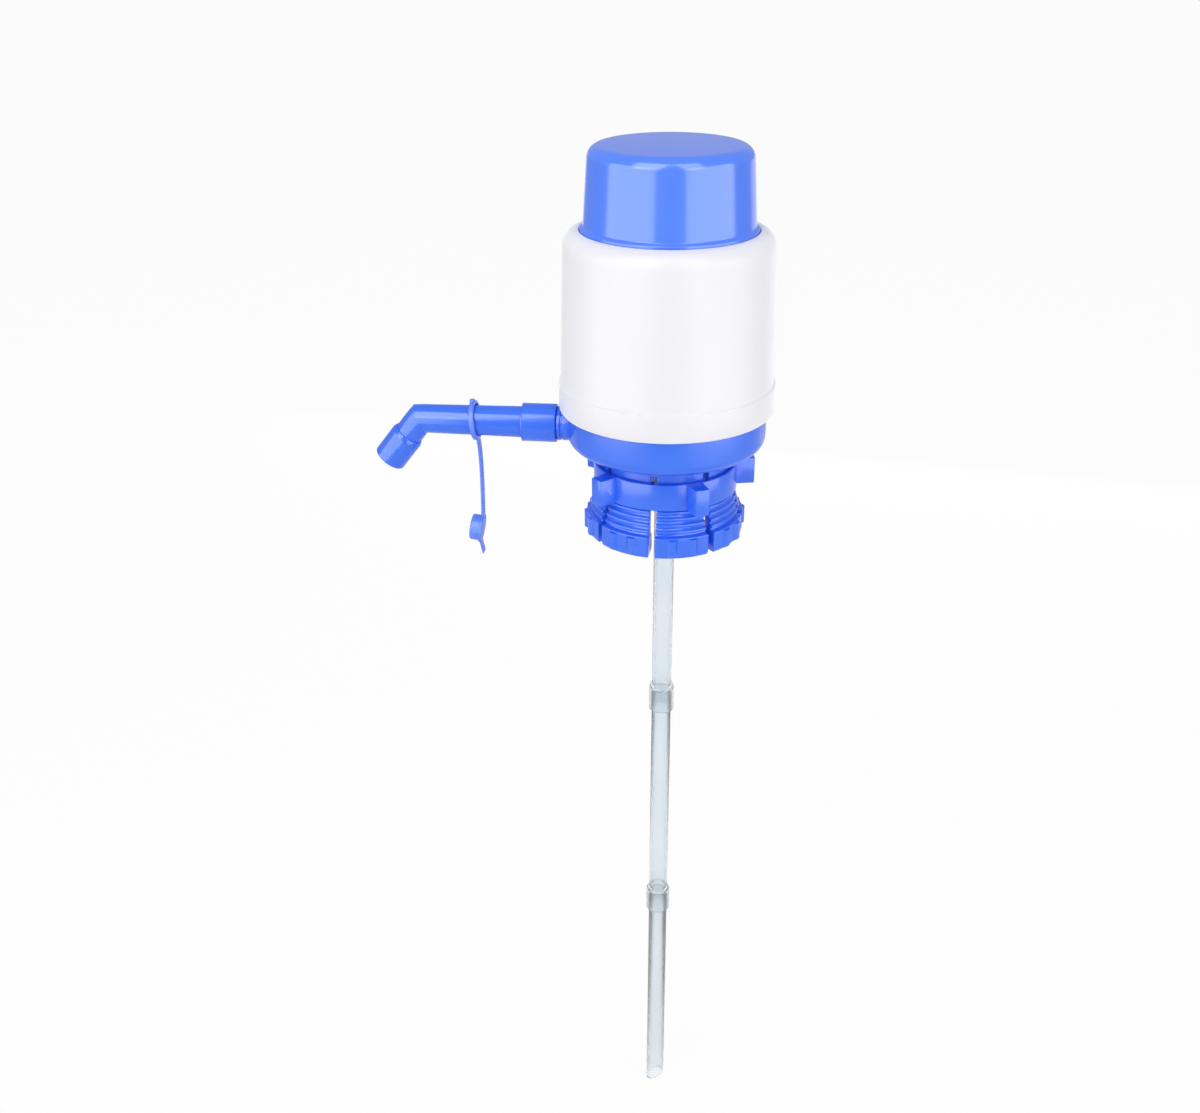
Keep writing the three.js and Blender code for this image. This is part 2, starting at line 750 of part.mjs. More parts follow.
function spoutCoupling() {
  return turned([
    [couplingBore, 0],
    [couplingRadius - couplingChamfer, 0],
    [couplingRadius, couplingChamfer],
    [couplingRadius, couplingLength - couplingChamfer],
    [couplingRadius - couplingChamfer, couplingLength],
    [couplingBore, couplingLength],
  ], pipeSteps);
}

// Length of pipe from its start to where the elbow begins, and its place further along the bend.
const elbowSetback = elbowBend * Math.tan(radians(elbowAngle) / 2);
const elbowStart = elbowReach - elbowSetback;
const elbowLength = elbowBend * radians(elbowAngle);

function pipePlace(s) {
  const a = THREE.MathUtils.clamp((s - elbowStart) / elbowBend, 0, radians(elbowAngle));
  const straight = Math.min(s, elbowStart);
  const slant = Math.max(s - elbowStart - elbowLength, 0);
  const x = -elbowBend * (1 - Math.cos(a)) - slant * Math.sin(a);
  const z = straight + elbowBend * Math.sin(a) + slant * Math.cos(a);
  return { x, z, a };
}

function spoutPipe() {
  const slant = slantLength - elbowSetback;
  const end = elbowStart + elbowLength + slant - nozzleLength + pipeNose;
  const noseStart = elbowStart + elbowLength + slant - nozzleLength;
  const noseRadius = nozzleInnerRadius - seatGap;
  const outside = [];
  const inside = [];
  for (let i = 0; i <= elbowSteps; i += 1) {
    const s = elbowStart + (elbowLength * i) / elbowSteps;
    outside.push([pipeTailRadius, s]);
    inside.push([pipeTailRadius - pipeWall, s]);
  }
  const geometry = revolved([
    [pipeHeadRadius - pipeWall, 0],
    [pipeHeadRadius, 0],
    ...outside,
    [pipeTailRadius, noseStart - seatGap],
    [noseRadius, noseStart - seatGap],
    [noseRadius, end],
    [pipeTailRadius - pipeWall, end],
    ...inside.reverse(),
  ], pipeSteps);
  const position = geometry.attributes.position;
  for (let i = 0; i < position.count; i += 1) {
    const { x, z, a } = pipePlace(position.getZ(i));
    const side = position.getX(i);
    position.setXYZ(i, x + side * Math.cos(a), position.getY(i), z + side * Math.sin(a));
  }
  return solidOf(geometry);
}

function nozzleSleeve() {
  return turned([
    [nozzleInnerRadius, 0],
    [nozzleRadius - couplingChamfer, 0],
    [nozzleRadius, couplingChamfer],
    [nozzleRadius, nozzleLength],
    [nozzleInnerRadius, nozzleLength],
  ], pipeSteps);
}

// Tether ring round the pipe, strap, and the plug for the nozzle, as one soft moulding. Here +Z
// runs outwards along the spout, and -X is down. The foot of the ring leans towards the drum.
function spoutPlug() {
  const ringInner = pipeHeadRadius + tetherGap;
  const ringOuter = ringInner + tetherWall;
  const ringMid = (ringInner + ringOuter) / 2;
  const lean = radians(tetherTilt);
  const knob = rod(knobRadius, ringMid, ringOuter + knobHeight).rotate([0, 90, 0]);
  let plug = tube(ringOuter, ringInner, -tetherWidth / 2, tetherWidth / 2, pipeSteps).add(knob);
  plug = plug.rotate([0, -tetherTilt, 0]);
  const strapTop = ringMid * Math.cos(lean);
  const strapEnd = ringOuter + strapLength;
  const half = strapThick / 2;
  const startZ = -ringMid * Math.sin(lean);
  const outline = new THREE.Shape();
  const bendX = -strapTop - strapBend;
  const bendZ = -strapDrift - strapBow;
  outline.moveTo(-strapTop, startZ - half);
  outline.quadraticCurveTo(bendX, bendZ - half, -strapEnd, -strapDrift - half);
  outline.lineTo(-strapEnd, -strapDrift + half);
  outline.quadraticCurveTo(bendX, bendZ + half, -strapTop, startZ + half);
  const cut = { depth: strapWidth, bevelEnabled: false, curveSegments: smallSteps };
  const strap = new THREE.ExtrudeGeometry(outline, cut);
  plug = plug.add(solidOf(strap.translate(0, 0, -strapWidth / 2).rotateX(Math.PI / 2)));
  const stopperRadius = nozzleInnerRadius - seatGap;
  const discRadius = stopperRadius + plugRim;
  const head = turned([
    [0, 0],
    [discRadius, 0],
    [discRadius, plugDisc],
    [stopperRadius, plugDisc],
    [stopperRadius, plugDisc + plugLength - couplingChamfer],
    [stopperRadius - couplingChamfer, plugDisc + plugLength],
    [0, plugDisc + plugLength],
  ], pipeSteps);
  const tabLow = [-plugTab, -plugTabWidth / 2, 0];
  const tab = block(tabLow, [overrun, plugTabWidth / 2, plugTabThick]).rotate([0, -plugTabBend, 0]);
  const tilted = head.add(tab.translate([-discRadius, 0, 0])).rotate([0, plugTilt, 0]);
  const tilt = radians(plugTilt);
  const drop = strapEnd + discRadius * Math.cos(tilt) - half;
  return plug.add(tilted.translate([-drop, 0, discRadius * Math.sin(tilt) - strapDrift - half]));
}

const pump = new THREE.Group();

function place(parent, name, solid, look, [x, y, z] = [0, 0, 0]) {
  const mesh = meshOf(name, solid, look);
  mesh.position.set(x, y, z);
  parent.add(mesh);
  return mesh;
}

const head = new THREE.Group();
place(head, "push_cap", pushCap(), blueCap);
place(head, "cap_plate", capPlate(), whiteInner);
place(head, "intake_valve", discValve(capPlateZ, capPlateTopZ), softClear);
spread(capScrews, 0).forEach((angle, i) => {
  const [x, y] = polar(capScrewCircle, angle);
  const mesh = place(head, `cap_screw_${i + 1}`, screw(capScrewLength), steel, [x, y, capPlateZ - seatGap]);
  mesh.rotation.x = Math.PI;
});

const body = new THREE.Group();
place(body, "outer_cover", outerCover(), whiteSatin);
place(body, "bellows", bellows(), softClear);
place(body, "return_spring", returnSpring(), steel);
place(body, "bellows_ring", bellowsRing(), whiteInner);
place(body, "valve_plate", valvePlate(), whiteInner);
place(body, "outlet_valve", discValve(plateZ, plateTopZ), softClear);
place(body, "plate_seal", plateSeal(), sealGrey);
place(body, "pump_base", pumpBase(), blueGloss);
place(body, "neck_gasket", neckGasket(), sealGrey);
place(body, "neck_collet", neckCollet(), blueGloss);
place(body, "clamp_ring", clampRing(), blueGloss);
place(body, "spout_seal", spoutSeal(), sealGrey);
spread(ringScrews, ringScrewTurn).forEach((angle, i) => {
  const at = polar(ringScrewCircle, angle, ringTopZ + seatGap);
  place(body, `ring_screw_${i + 1}`, screw(ringScrewLength), steel, at);
});
spread(colletScrews, colletScrewTurn()).forEach((angle, i) => {
  const at = polar(colletScrewCircle, angle, baseFloorTopZ + seatGap);
  place(body, `collet_screw_${i + 1}`, screw(colletScrewLength), steel, at);
});

const tubes = ["dip_tube_upper", "dip_tube_middle", "dip_tube_lower"];
tubes.forEach((name, i) => {
  const top = -overrun - seatGap - i * (tubeLength - tubeSocket + seatGap);
  place(body, name, dipTube(i === tubes.length - 1), tubeClear, [0, 0, top]);
});

const spout = new THREE.Group();
spout.position.set(0, 0, spoutZ);
spout.rotation.y = -Math.PI / 2;
place(spout, "spout_coupling", spoutCoupling(), blueGloss, [0, 0, spigotEndX + seatGap]);
place(spout, "spout_pipe", spoutPipe(), blueGloss, [0, 0, pipeStartX]);
const nozzleAt = pipePlace(elbowStart + elbowLength + slantLength - elbowSetback - nozzleLength);
const nozzlePlace = [nozzleAt.x, 0, pipeStartX + nozzleAt.z];
place(spout, "nozzle_sleeve", nozzleSleeve(), blueGloss, nozzlePlace).rotation.y = -nozzleAt.a;
place(spout, "spout_plug", spoutPlug(), softBlue, [0, 0, tetherX]);

pump.add(head, body, spout);

export default pump;
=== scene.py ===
"""Looks of a hand pump for drinking water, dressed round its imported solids.

Metres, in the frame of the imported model: +Z up, the origin on the pump's axis in the plane
where the neck gasket seals, and the spout along -X. Sizes in the classes are millimetres.
"""

import logging
import math
from dataclasses import dataclass, field
from enum import Enum
from typing import Callable, Optional, Sequence

import bmesh
import bpy
import numpy as np
from mathutils import Matrix, Vector


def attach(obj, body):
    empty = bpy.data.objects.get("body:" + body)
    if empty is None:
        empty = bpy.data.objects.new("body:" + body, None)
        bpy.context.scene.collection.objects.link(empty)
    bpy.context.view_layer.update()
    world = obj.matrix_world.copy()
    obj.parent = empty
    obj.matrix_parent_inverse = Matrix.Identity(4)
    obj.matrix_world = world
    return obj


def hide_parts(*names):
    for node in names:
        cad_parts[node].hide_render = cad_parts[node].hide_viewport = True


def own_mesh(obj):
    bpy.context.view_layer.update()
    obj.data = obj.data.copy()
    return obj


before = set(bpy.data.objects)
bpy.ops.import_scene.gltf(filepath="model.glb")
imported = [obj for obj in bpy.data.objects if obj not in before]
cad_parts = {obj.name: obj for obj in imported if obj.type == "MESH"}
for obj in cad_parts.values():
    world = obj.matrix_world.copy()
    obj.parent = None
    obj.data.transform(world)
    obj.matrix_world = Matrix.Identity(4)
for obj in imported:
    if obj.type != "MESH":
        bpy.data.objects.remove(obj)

MM = 0.001
SHARP_ANGLE = math.radians(34.0)
WELD = 2e-6

# Millimetres by which two heights may differ and still count as the same.
SAME = 1e-6

# Steps round the axis of a turned piece.
SHELL_STEPS = 256
FINE_STEPS = 192
SEAL_STEPS = 128
BELLOWS_STEPS = 96
PIPE_STEPS = 64
MIDDLE_STEPS = 48
SMALL_STEPS = 24
SCREW_STEPS = 20

# Roundings of a moulding's edges, in millimetres, from a parting edge to the edge of a strap.
PARTING = 0.1
CRISP = 0.15
TIGHT = 0.2
NEAT = 0.3
EASED = 0.4
BEADED = 0.45
SOFT = 0.5
FULL = 0.6

# Half angles outside which a corner stays as it is, and the most of a side that a rounding takes.
SHARPEST_HALF = math.radians(1)
FLATTEST_HALF = math.radians(89.5)
SETBACK_SHARE = 0.48

# Values that a noise texture seldom leaves, for a range of values and for a pair of tones.
NOISE_RANGE = (0.3, 0.7)
TONE_RANGE = (0.32, 0.68)

# How late the painted shade at a silhouette (painted sheen on the white cover) sets in, as the
# surface turns away from the eye.
PAINTED_RIM_FALLOFF = 2.6

# Crispness of the bellows' folds, between a sine wave at 0 and a zigzag at 1.
FOLD_CRISPNESS = 0.96

# Faces of a box of eight points, foot first, that go round anticlockwise as seen from above.
BOX = [(0, 3, 2, 1), (4, 5, 6, 7), (0, 1, 5, 4), (1, 2, 6, 5), (2, 3, 7, 6), (3, 0, 4, 7)]

# The same for points that go round clockwise.
CLOCKWISE_BOX = [(0, 1, 2, 3), (4, 7, 6, 5), (0, 4, 5, 1), (1, 5, 6, 2), (2, 6, 7, 3), (3, 7, 4, 0)]

Corner = tuple[float, float, float]
Triple = tuple[float, float, float]
Placing = Callable[[np.ndarray], np.ndarray]
Column = tuple["Stretch", float, float]

log = logging.getLogger("hand_pump")


class Body(Enum):
    """CAD bodies that pieces ride on."""

    BASE = "base"
    CAP = "cap"
    INTAKE = "intake"
    OUTLET = "outlet"
    CLAMP = "clamp"
    SPOUT = "spout"
    TETHER = "tether"


class Slot(Enum):
    """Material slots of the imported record."""

    WHITE_SHELL = "white_shell"
    BLUE_SHELL = "blue_shell"
    BLUE_CAP = "blue_cap"
    WHITE_INNER = "white_inner"
    BELLOWS = "bellows_rubber"
    VALVE = "valve_rubber"
    SEAL = "seal_rubber"
    TETHER = "tether_plastic"
    TUBE = "tube_plastic"
    SPRING = "spring_steel"
    SCREW = "screw_steel"


class Joining(Enum):
    """How one solid is worked into another."""

    ADD = "UNION"
    CUT = "DIFFERENCE"


class Stretch(Enum):
    """Stretches of one collet finger, on the way from one slit's centre to the next."""

    FIRST_BRIDGE = "first bridge"
    FIRST_EDGE = "first edge"
    FACE = "face"
    LAST_EDGE = "last edge"
    LAST_BRIDGE = "last bridge"


class Light(Enum):
    """What a lamp is there for."""

    FILL = "fill"
    SHINE = "shine"


# Finishes


def linear(colour: Triple) -> tuple[float, float, float, float]:
    """Turns a display colour into a linear one.

    Args:
        colour: Red, green and blue from 0 to 255.

    Returns:
        Linear red, green, blue and alpha.
    """
    parts = [c / 255 for c in colour]
    parts = [c / 12.92 if c <= 0.04045 else ((c + 0.055) / 1.055) ** 2.4 for c in parts]
    return (parts[0], parts[1], parts[2], 1.0)


class Shader:
    """Short way of building the node tree of one material."""

    def __init__(self, name: str) -> None:
        """Starts an empty material with an output and a Principled shader.

        Args:
            name: Name of the material.
        """
        self.material = bpy.data.materials.new(name)
        self.material.use_nodes = True
        self.tree = self.material.node_tree
        self.tree.nodes.clear()
        self.output = self.node("ShaderNodeOutputMaterial")
        self.shader = self.node("ShaderNodeBsdfPrincipled")
        self.link(self.shader, "BSDF", self.output, "Surface")

    def node(self, kind: str, **values: object) -> bpy.types.Node:
        """Adds a node.

        Args:
            kind: Node type.
            values: Socket values, with underscores for spaces, or node settings.

        Returns:
            The node.
        """
        made = self.tree.nodes.new(kind)
        for key, value in values.items():
            socket = made.inputs.get(key.replace("_", " "))
            if socket is not None:
                socket.default_value = value
            else:
                setattr(made, key, value)
        return made

    def link(self, start: bpy.types.Node, out: str, end: bpy.types.Node, into: str) -> None:
        """Links an output socket to an input socket by their names."""
        self.tree.links.new(start.outputs[out], end.inputs[into])

    def place(self, stretch: Triple = (1.0, 1.0, 1.0)) -> bpy.types.Node:
        """Adds object coordinates through a Mapping node.

        Args:
            stretch: Scale along each axis.

        Returns:
            The Mapping node.
        """
        coordinates = self.node("ShaderNodeTexCoord")
        mapping = self.node("ShaderNodeMapping")
        mapping.inputs["Scale"].default_value = stretch
        self.link(coordinates, "Object", mapping, "Vector")
        return mapping

    def noise(self, where: bpy.types.Node, scale: float, detail: float = 2.0) -> bpy.types.Node:
        """Adds a noise texture at a place.

        Args:
            where: Mapping node that gives the place.
            scale: Texture scale, per metre.
            detail: Octaves of the noise.

        Returns:
            The noise node.
        """
        noise = self.node("ShaderNodeTexNoise", Scale=scale, Detail=detail)
        self.link(where, "Vector", noise, "Vector")
        return noise

    def spread(self, source: bpy.types.Node, low: float, high: float) -> bpy.types.Node:
        """Maps a noise to a range of values.

        Args:
            source: Noise node.
            low: Value where the noise is low.
            high: Value where the noise is high.

        Returns:
            The Map Range node.
        """
        ranged = self.node("ShaderNodeMapRange")
        ends = zip(("From Min", "From Max", "To Min", "To Max"), (*NOISE_RANGE, low, high))
        for label, value in ends:
            ranged.inputs[label].default_value = value
        self.link(source, "Fac", ranged, "Value")
        return ranged

    def tones(self, factor: bpy.types.Node, first: Triple, second: Triple) -> None:
        """Colours the surface between two tones.

        Args:
            factor: Noise node that mixes them.
            first: Display colour of the low end.
            second: Display colour of the high end.
        """
        ramp = self.node("ShaderNodeValToRGB")
        low, high = ramp.color_ramp.elements
        low.position, high.position = TONE_RANGE
        low.color, high.color = linear(first), linear(second)
        self.link(factor, "Fac", ramp, "Fac")
        self.link(ramp, "Color", self.shader, "Base Color")

    def painted_rim(self, edge: Triple, amount: float) -> None:
        """Paints shade into the colour where the surface turns away from the eye, and painted sheen
        where the edge colour is lighter.

        Args:
            edge: Display colour of the painted light at the very edge, darker for painted shade and
                lighter for painted sheen.
            amount: Share of it there.
        """
        base = self.shader.inputs["Base Color"].links[0].from_socket
        weight = self.node("ShaderNodeLayerWeight", Blend=0.5)
        curve = self.node("ShaderNodeMath", operation="POWER")
        curve.inputs[1].default_value = PAINTED_RIM_FALLOFF
        share = self.node("ShaderNodeMath", operation="MULTIPLY")
        share.inputs[1].default_value = amount
        # The painted silhouette shade or sheen is mixed over the base colour here.
        mix = self.node("ShaderNodeMixRGB", Color2=linear(edge))
        self.link(weight, "Facing", curve, "Value")
        self.link(curve, "Value", share, "Value")
        self.link(share, "Value", mix, "Fac")
        self.tree.links.new(base, mix.inputs["Color1"])
        self.link(mix, "Color", self.shader, "Base Color")

    def relief(self, source: bpy.types.Node, strength: float, depth: float) -> None:
        """Adds a bump from a texture.

        Args:
            source: Texture node with a Fac output.
            strength: Bump strength.
            depth: Bump depth in metres.
        """
        bump = self.node("ShaderNodeBump", Strength=strength, Distance=depth)
        self.link(source, "Fac", bump, "Height")
        self.link(bump, "Normal", self.shader, "Normal")


@dataclass(frozen=True)
class MouldedPlastic:
    """Injection-moulded plastic with faint flow marks, a fine surface, and light painted along its
    silhouettes.
    """

    name: str
    colour: Triple
    flow: Triple
    # Colour painted along the silhouette: painted shade where darker than the colour, painted sheen
    # where lighter.
    edge: Triple
    roughness: float
    specular: float = 0.5
    clearness: float = 0.0
    ior: float = 1.5
    painted_rim_share: float = 0.8
    flow_stretch: float = 0.45
    flow_scale: float = 38.0
    flow_detail: float = 3.0
    gloss_scale: float = 60.0
    roughness_dip: float = 0.015
    roughness_rise: float = 0.02
    grain: float = 0.006
    grain_scale: float = 900.0
    grain_depth: float = 0.0004

    def material(self) -> bpy.types.Material:
        """Builds the material.

        Returns:
            The finished material.
        """
        made = Shader(self.name)
        place = made.place((1.0, 1.0, self.flow_stretch))
        made.tones(made.noise(place, self.flow_scale, self.flow_detail), self.colour, self.flow)
        # Paints the edge colour in along the silhouette as painted light.
        made.painted_rim(self.edge, self.painted_rim_share)
        fine = made.noise(made.place(), self.grain_scale)
        ranged = made.spread(made.noise(place, self.gloss_scale),
                             self.roughness - self.roughness_dip,
                             self.roughness + self.roughness_rise)
        made.link(ranged, "Result", made.shader, "Roughness")
        made.relief(fine, self.grain, self.grain_depth)
        sockets = made.shader.inputs
        sockets["IOR"].default_value = self.ior
        sockets["Specular IOR Level"].default_value = self.specular
        sockets["Transmission Weight"].default_value = self.clearness
        return made.material


@dataclass(frozen=True)
class SoftMoulding:
    """Soft rubber or silicone with a dull, slightly cloudy skin."""

    name: str
    colour: Triple
    cloud: Triple
    roughness: float
    clearness: float = 0.0
    cloud_scale: float = 60.0
    cloud_detail: float = 4.0
    gloss_scale: float = 260.0
    roughness_swing: float = 0.06
    skin: float = 0.06
    skin_scale: float = 1400.0
    skin_depth: float = 0.0003
    scatter: float = 0.15
    scatter_reach: float = 0.002

    def material(self) -> bpy.types.Material:
        """Builds the material.

        Returns:
            The finished material.
        """
        made = Shader(self.name)
        place = made.place()
        made.tones(made.noise(place, self.cloud_scale, self.cloud_detail), self.colour, self.cloud)
        ranged = made.spread(made.noise(place, self.gloss_scale),
                             self.roughness - self.roughness_swing,
                             self.roughness + self.roughness_swing)
        made.link(ranged, "Result", made.shader, "Roughness")
        made.relief(made.noise(place, self.skin_scale), self.skin, self.skin_depth)
        made.shader.inputs["Transmission Weight"].default_value = self.clearness
        made.shader.inputs["Subsurface Weight"].default_value = self.scatter
        made.shader.inputs["Subsurface Scale"].default_value = self.scatter_reach
        return made.material


@dataclass(frozen=True)
class DrawnSteel:
    """Stainless wire or screw steel with fine drawing lines along its turns."""

    name: str
    colour: Triple
    streak: Triple
    roughness: float
    streak_stretch: float = 14.0
    streak_scale: float = 220.0
    streak_detail: float = 4.0
    gloss_scale: float = 500.0
    roughness_dip: float = 0.05
    roughness_rise: float = 0.08
    scratch: float = 0.04
    scratch_scale: float = 1800.0
    scratch_depth: float = 0.0002

    def material(self) -> bpy.types.Material:
        """Builds the material.

        Returns:
            The finished material.
        """
        made = Shader(self.name)
        place = made.place((1.0, 1.0, self.streak_stretch))
        streaks = made.noise(place, self.streak_scale, self.streak_detail)
        made.tones(streaks, self.colour, self.streak)
        ranged = made.spread(made.noise(place, self.gloss_scale),
                             self.roughness - self.roughness_dip,
                             self.roughness + self.roughness_rise)
        made.link(ranged, "Result", made.shader, "Roughness")
        made.relief(made.noise(place, self.scratch_scale), self.scratch, self.scratch_depth)
        made.shader.inputs["Metallic"].default_value = 1.0
        return made.material


class Palette:
    """The pump's finishes, one material for each slot."""

    def __init__(self) -> None:
        """Builds every material once."""
        finishes = {
            # The third colour of each moulded plastic is painted at its silhouette: painted sheen
            # on the white cover, painted shade on the blue parts, the inner white and the clear
            # tube.
            Slot.WHITE_SHELL: MouldedPlastic(
                "satin_white_cover", (229, 228, 233), (231, 230, 235), (250, 250, 254), 0.32,
                specular=0.22,
            ),
            Slot.BLUE_SHELL: MouldedPlastic(
                "gloss_blue_base", (42, 106, 236), (46, 110, 239), (26, 84, 232), 0.2, ior=1.6,
            ),
            Slot.BLUE_CAP: MouldedPlastic(
                "gloss_blue_cap", (77, 127, 244), (80, 130, 246), (56, 116, 252), 0.17, ior=1.6,
            ),
            Slot.WHITE_INNER: MouldedPlastic(
                "natural_white_moulding", (226, 228, 231), (232, 234, 236), (205, 208, 214), 0.5
            ),
            Slot.TETHER: MouldedPlastic(
                "soft_blue_tether", (84, 128, 236), (92, 134, 240), (60, 96, 214), 0.36,
            ),
            Slot.TUBE: MouldedPlastic(
                "clear_tube", (240, 246, 250), (246, 250, 253), (205, 216, 226), 0.18,
                clearness=0.94, ior=1.35,
            ),
            Slot.BELLOWS: SoftMoulding(
                "milky_bellows", (214, 219, 226), (224, 228, 233), 0.46, clearness=0.3,
            ),
            Slot.VALVE: SoftMoulding(
                "silicone_valve", (214, 218, 224), (222, 226, 230), 0.4, clearness=0.35,
            ),
            Slot.SEAL: SoftMoulding("grey_seal", (196, 199, 205), (204, 207, 212), 0.6),
            Slot.SPRING: DrawnSteel("spring_wire", (176, 178, 182), (196, 198, 201), 0.28),
            Slot.SCREW: DrawnSteel("screw_steel", (172, 174, 178), (190, 192, 195), 0.34),
        }
        self.materials = {slot: finish.material() for slot, finish in finishes.items()}

    def of(self, slot: Slot) -> bpy.types.Material:
        """Gives the material of a slot."""
        return self.materials[slot]


# Shapes


def rounded(corners: Sequence[Corner], arc_steps: int = 4) -> np.ndarray:
    """Rounds the corners of a closed outline.

    Args:
        corners: Radius, height and rounding of each corner, in order.
        arc_steps: Segments in each rounding.

    Returns:
        Points of the rounded outline, as rows of radius and height.
    """
    made: list[np.ndarray] = []
    count = len(corners)
    for i, (x, y, radius) in enumerate(corners):
        here = np.array((x, y), float)
        back = np.array(corners[i - 1][:2], float) - here
        ahead = np.array(corners[(i + 1) % count][:2], float) - here
        back_length, ahead_length = np.linalg.norm(back), np.linalg.norm(ahead)
        back, ahead = back / back_length, ahead / ahead_length
        half = math.acos(float(np.clip(back @ ahead, -1, 1))) / 2
        if radius <= 0 or half > FLATTEST_HALF or half < SHARPEST_HALF:
            made.append(here)
            continue
        setback = min(radius / math.tan(half), SETBACK_SHARE * min(back_length, ahead_length))
        radius = setback * math.tan(half)
        middle = (back + ahead) / np.linalg.norm(back + ahead)
        centre = here + middle * radius / math.sin(half)
        start, end = here + back * setback - centre, here + ahead * setback - centre
        first = math.atan2(start[1], start[0])
        sweep = (math.atan2(end[1], end[0]) - first + math.pi) % (2 * math.pi) - math.pi
        for step in range(arc_steps + 1):
            angle = first + sweep * step / arc_steps
            made.append(centre + radius * np.array((math.cos(angle), math.sin(angle))))
    return np.array(made)


def arc(centre: tuple[float, float], radii: tuple[float, float], first: float, last: float,
        steps: int) -> list[Corner]:
    """Gives unrounded corners along an elliptical arc.

    Args:
        centre: Radius and height of its centre.
        radii: Its half-widths along radius and height.
        first: First angle in degrees, from the outward direction.
        last: Last angle in degrees.
        steps: Segments.

    Returns:
        The corners.
    """
    angles = [math.radians(first + (last - first) * i / steps) for i in range(steps + 1)]
    return [
        (centre[0] + radii[0] * math.cos(a), centre[1] + radii[1] * math.sin(a), 0.0)
        for a in angles
    ]


def polar(radius: float, angle: float, height: float = 0.0) -> Triple:
    """Gives the place at a radius, at an angle in degrees from the front, and at a height."""
    a = math.radians(angle)
    return (radius * math.sin(a), -radius * math.cos(a), height)


def mesh_object(name: str, points: np.ndarray, faces: Sequence[Sequence[int]]) -> bpy.types.Object:
    """Makes a closed mesh object from points in millimetres.

    Args:
        name: Name of the object.
        points: Rows of x, y and z.
        faces: Rows of point numbers.

    Returns:
        The object, welded, with faces outwards and smooth shading up to the sharp edges.
    """
    mesh = bpy.data.meshes.new(name)
    mesh.from_pydata((np.asarray(points, float) * MM).tolist(), [], [list(f) for f in faces])
    work = bmesh.new()
    work.from_mesh(mesh)
    bmesh.ops.remove_doubles(work, verts=work.verts, dist=WELD)
    bmesh.ops.recalc_face_normals(work, faces=work.faces)
    work.to_mesh(mesh)
    work.free()
    return shaded(linked(name, mesh))


def linked(name: str, mesh: bpy.types.Mesh) -> bpy.types.Object:
    """Puts a mesh into the scene as a new object.

    Args:
        name: Name of the object.
        mesh: Mesh that the object shows.

    Returns:
        The new object.
    """
    made = bpy.data.objects.new(name, mesh)
    bpy.context.scene.collection.objects.link(made)
    return made


def shaded(piece: bpy.types.Object, angle: float = SHARP_ANGLE) -> bpy.types.Object:
    """Shades a piece smooth, apart from edges over an angle.

    Args:
        piece: Piece to shade.
        angle: Angle in radians from which an edge stays sharp.

    Returns:
        The same piece.
    """
    piece.data.shade_smooth()
    piece.data.set_sharp_from_angle(angle=angle)
    return piece


def turned(name: str, outline: np.ndarray, steps: int = FINE_STEPS,
           placing: Optional[Placing] = None) -> bpy.types.Object:
    """Turns a closed outline about Z.

    Args:
        name: Name of the object.
        outline: Rows of radius and height in millimetres.
        steps: Steps round the axis.
        placing: Moves the points, where the piece doesn't stand on the pump's axis.

    Returns:
        The object.
    """
    count = len(outline)
    angles = 2 * math.pi * np.arange(steps) / steps
    points = np.zeros((steps, count, 3))
    points[:, :, 0] = np.sin(angles)[:, None] * outline[None, :, 0]
    points[:, :, 1] = -np.cos(angles)[:, None] * outline[None, :, 0]
    points[:, :, 2] = outline[None, :, 1]
    faces = [
        (i * count + j, (i + 1) % steps * count + j, (i + 1) % steps * count + (j + 1) % count,
         i * count + (j + 1) % count)
        for i in range(steps) for j in range(count)
    ]
    flat = points.reshape(-1, 3)
    return mesh_object(name, placing(flat) if placing else flat, faces)


def rod(name: str, radius: float, low: float, high: float, steps: int = SMALL_STEPS,
        placing: Optional[Placing] = None) -> bpy.types.Object:
    """Makes a plain rod about Z, for working into another solid."""
    outline = np.array([(0, low), (radius, low), (radius, high), (0, high)], float)
    return turned(name, outline, steps, placing)


def plain(source: bpy.types.Object, name: str) -> bpy.types.Object:
    """Turns an object with modifiers into a plain mesh object, and removes the source.

    Args:
        source: The object whose modifiers are evaluated.
        name: Name of the new object.

    Returns:
        The new object, at the origin.
    """
    graph = bpy.context.evaluated_depsgraph_get()
    mesh = bpy.data.meshes.new_from_object(source.evaluated_get(graph), depsgraph=graph)
    mesh.name = name
    bpy.data.objects.remove(source)
    return linked(name, mesh)


def worked(name: str, solid: bpy.types.Object,
           parts: Sequence[tuple[Joining, bpy.types.Object]]) -> bpy.types.Object:
    """Adds and cuts closed solids in order.

    Args:
        name: Name of the result.
        solid: The first solid.
        parts: Each further solid and how it is worked in.

    Returns:
        One plain closed mesh object.
    """
    for joining, part in parts:
        modifier = solid.modifiers.new(part.name, "BOOLEAN")
        modifier.operation = joining.value
        modifier.solver = "MANIFOLD"
        modifier.object = part
    made = plain(solid, name)
    for _, part in parts:
        bpy.data.objects.remove(part)
    return shaded(made)


def joined(name: str, pieces: Sequence[bpy.types.Object]) -> bpy.types.Object:
    """Gathers separate closed shells in one mesh object.

    Args:
        name: Name of the result.
        pieces: The objects, which are removed.

    Returns:
        The object.
    """
    work = bmesh.new()
    for piece in pieces:
        work.from_mesh(piece.data)
        bpy.data.objects.remove(piece)
    mesh = bpy.data.meshes.new(name)
    work.to_mesh(mesh)
    work.free()
    return shaded(linked(name, mesh))


# Geometry Nodes


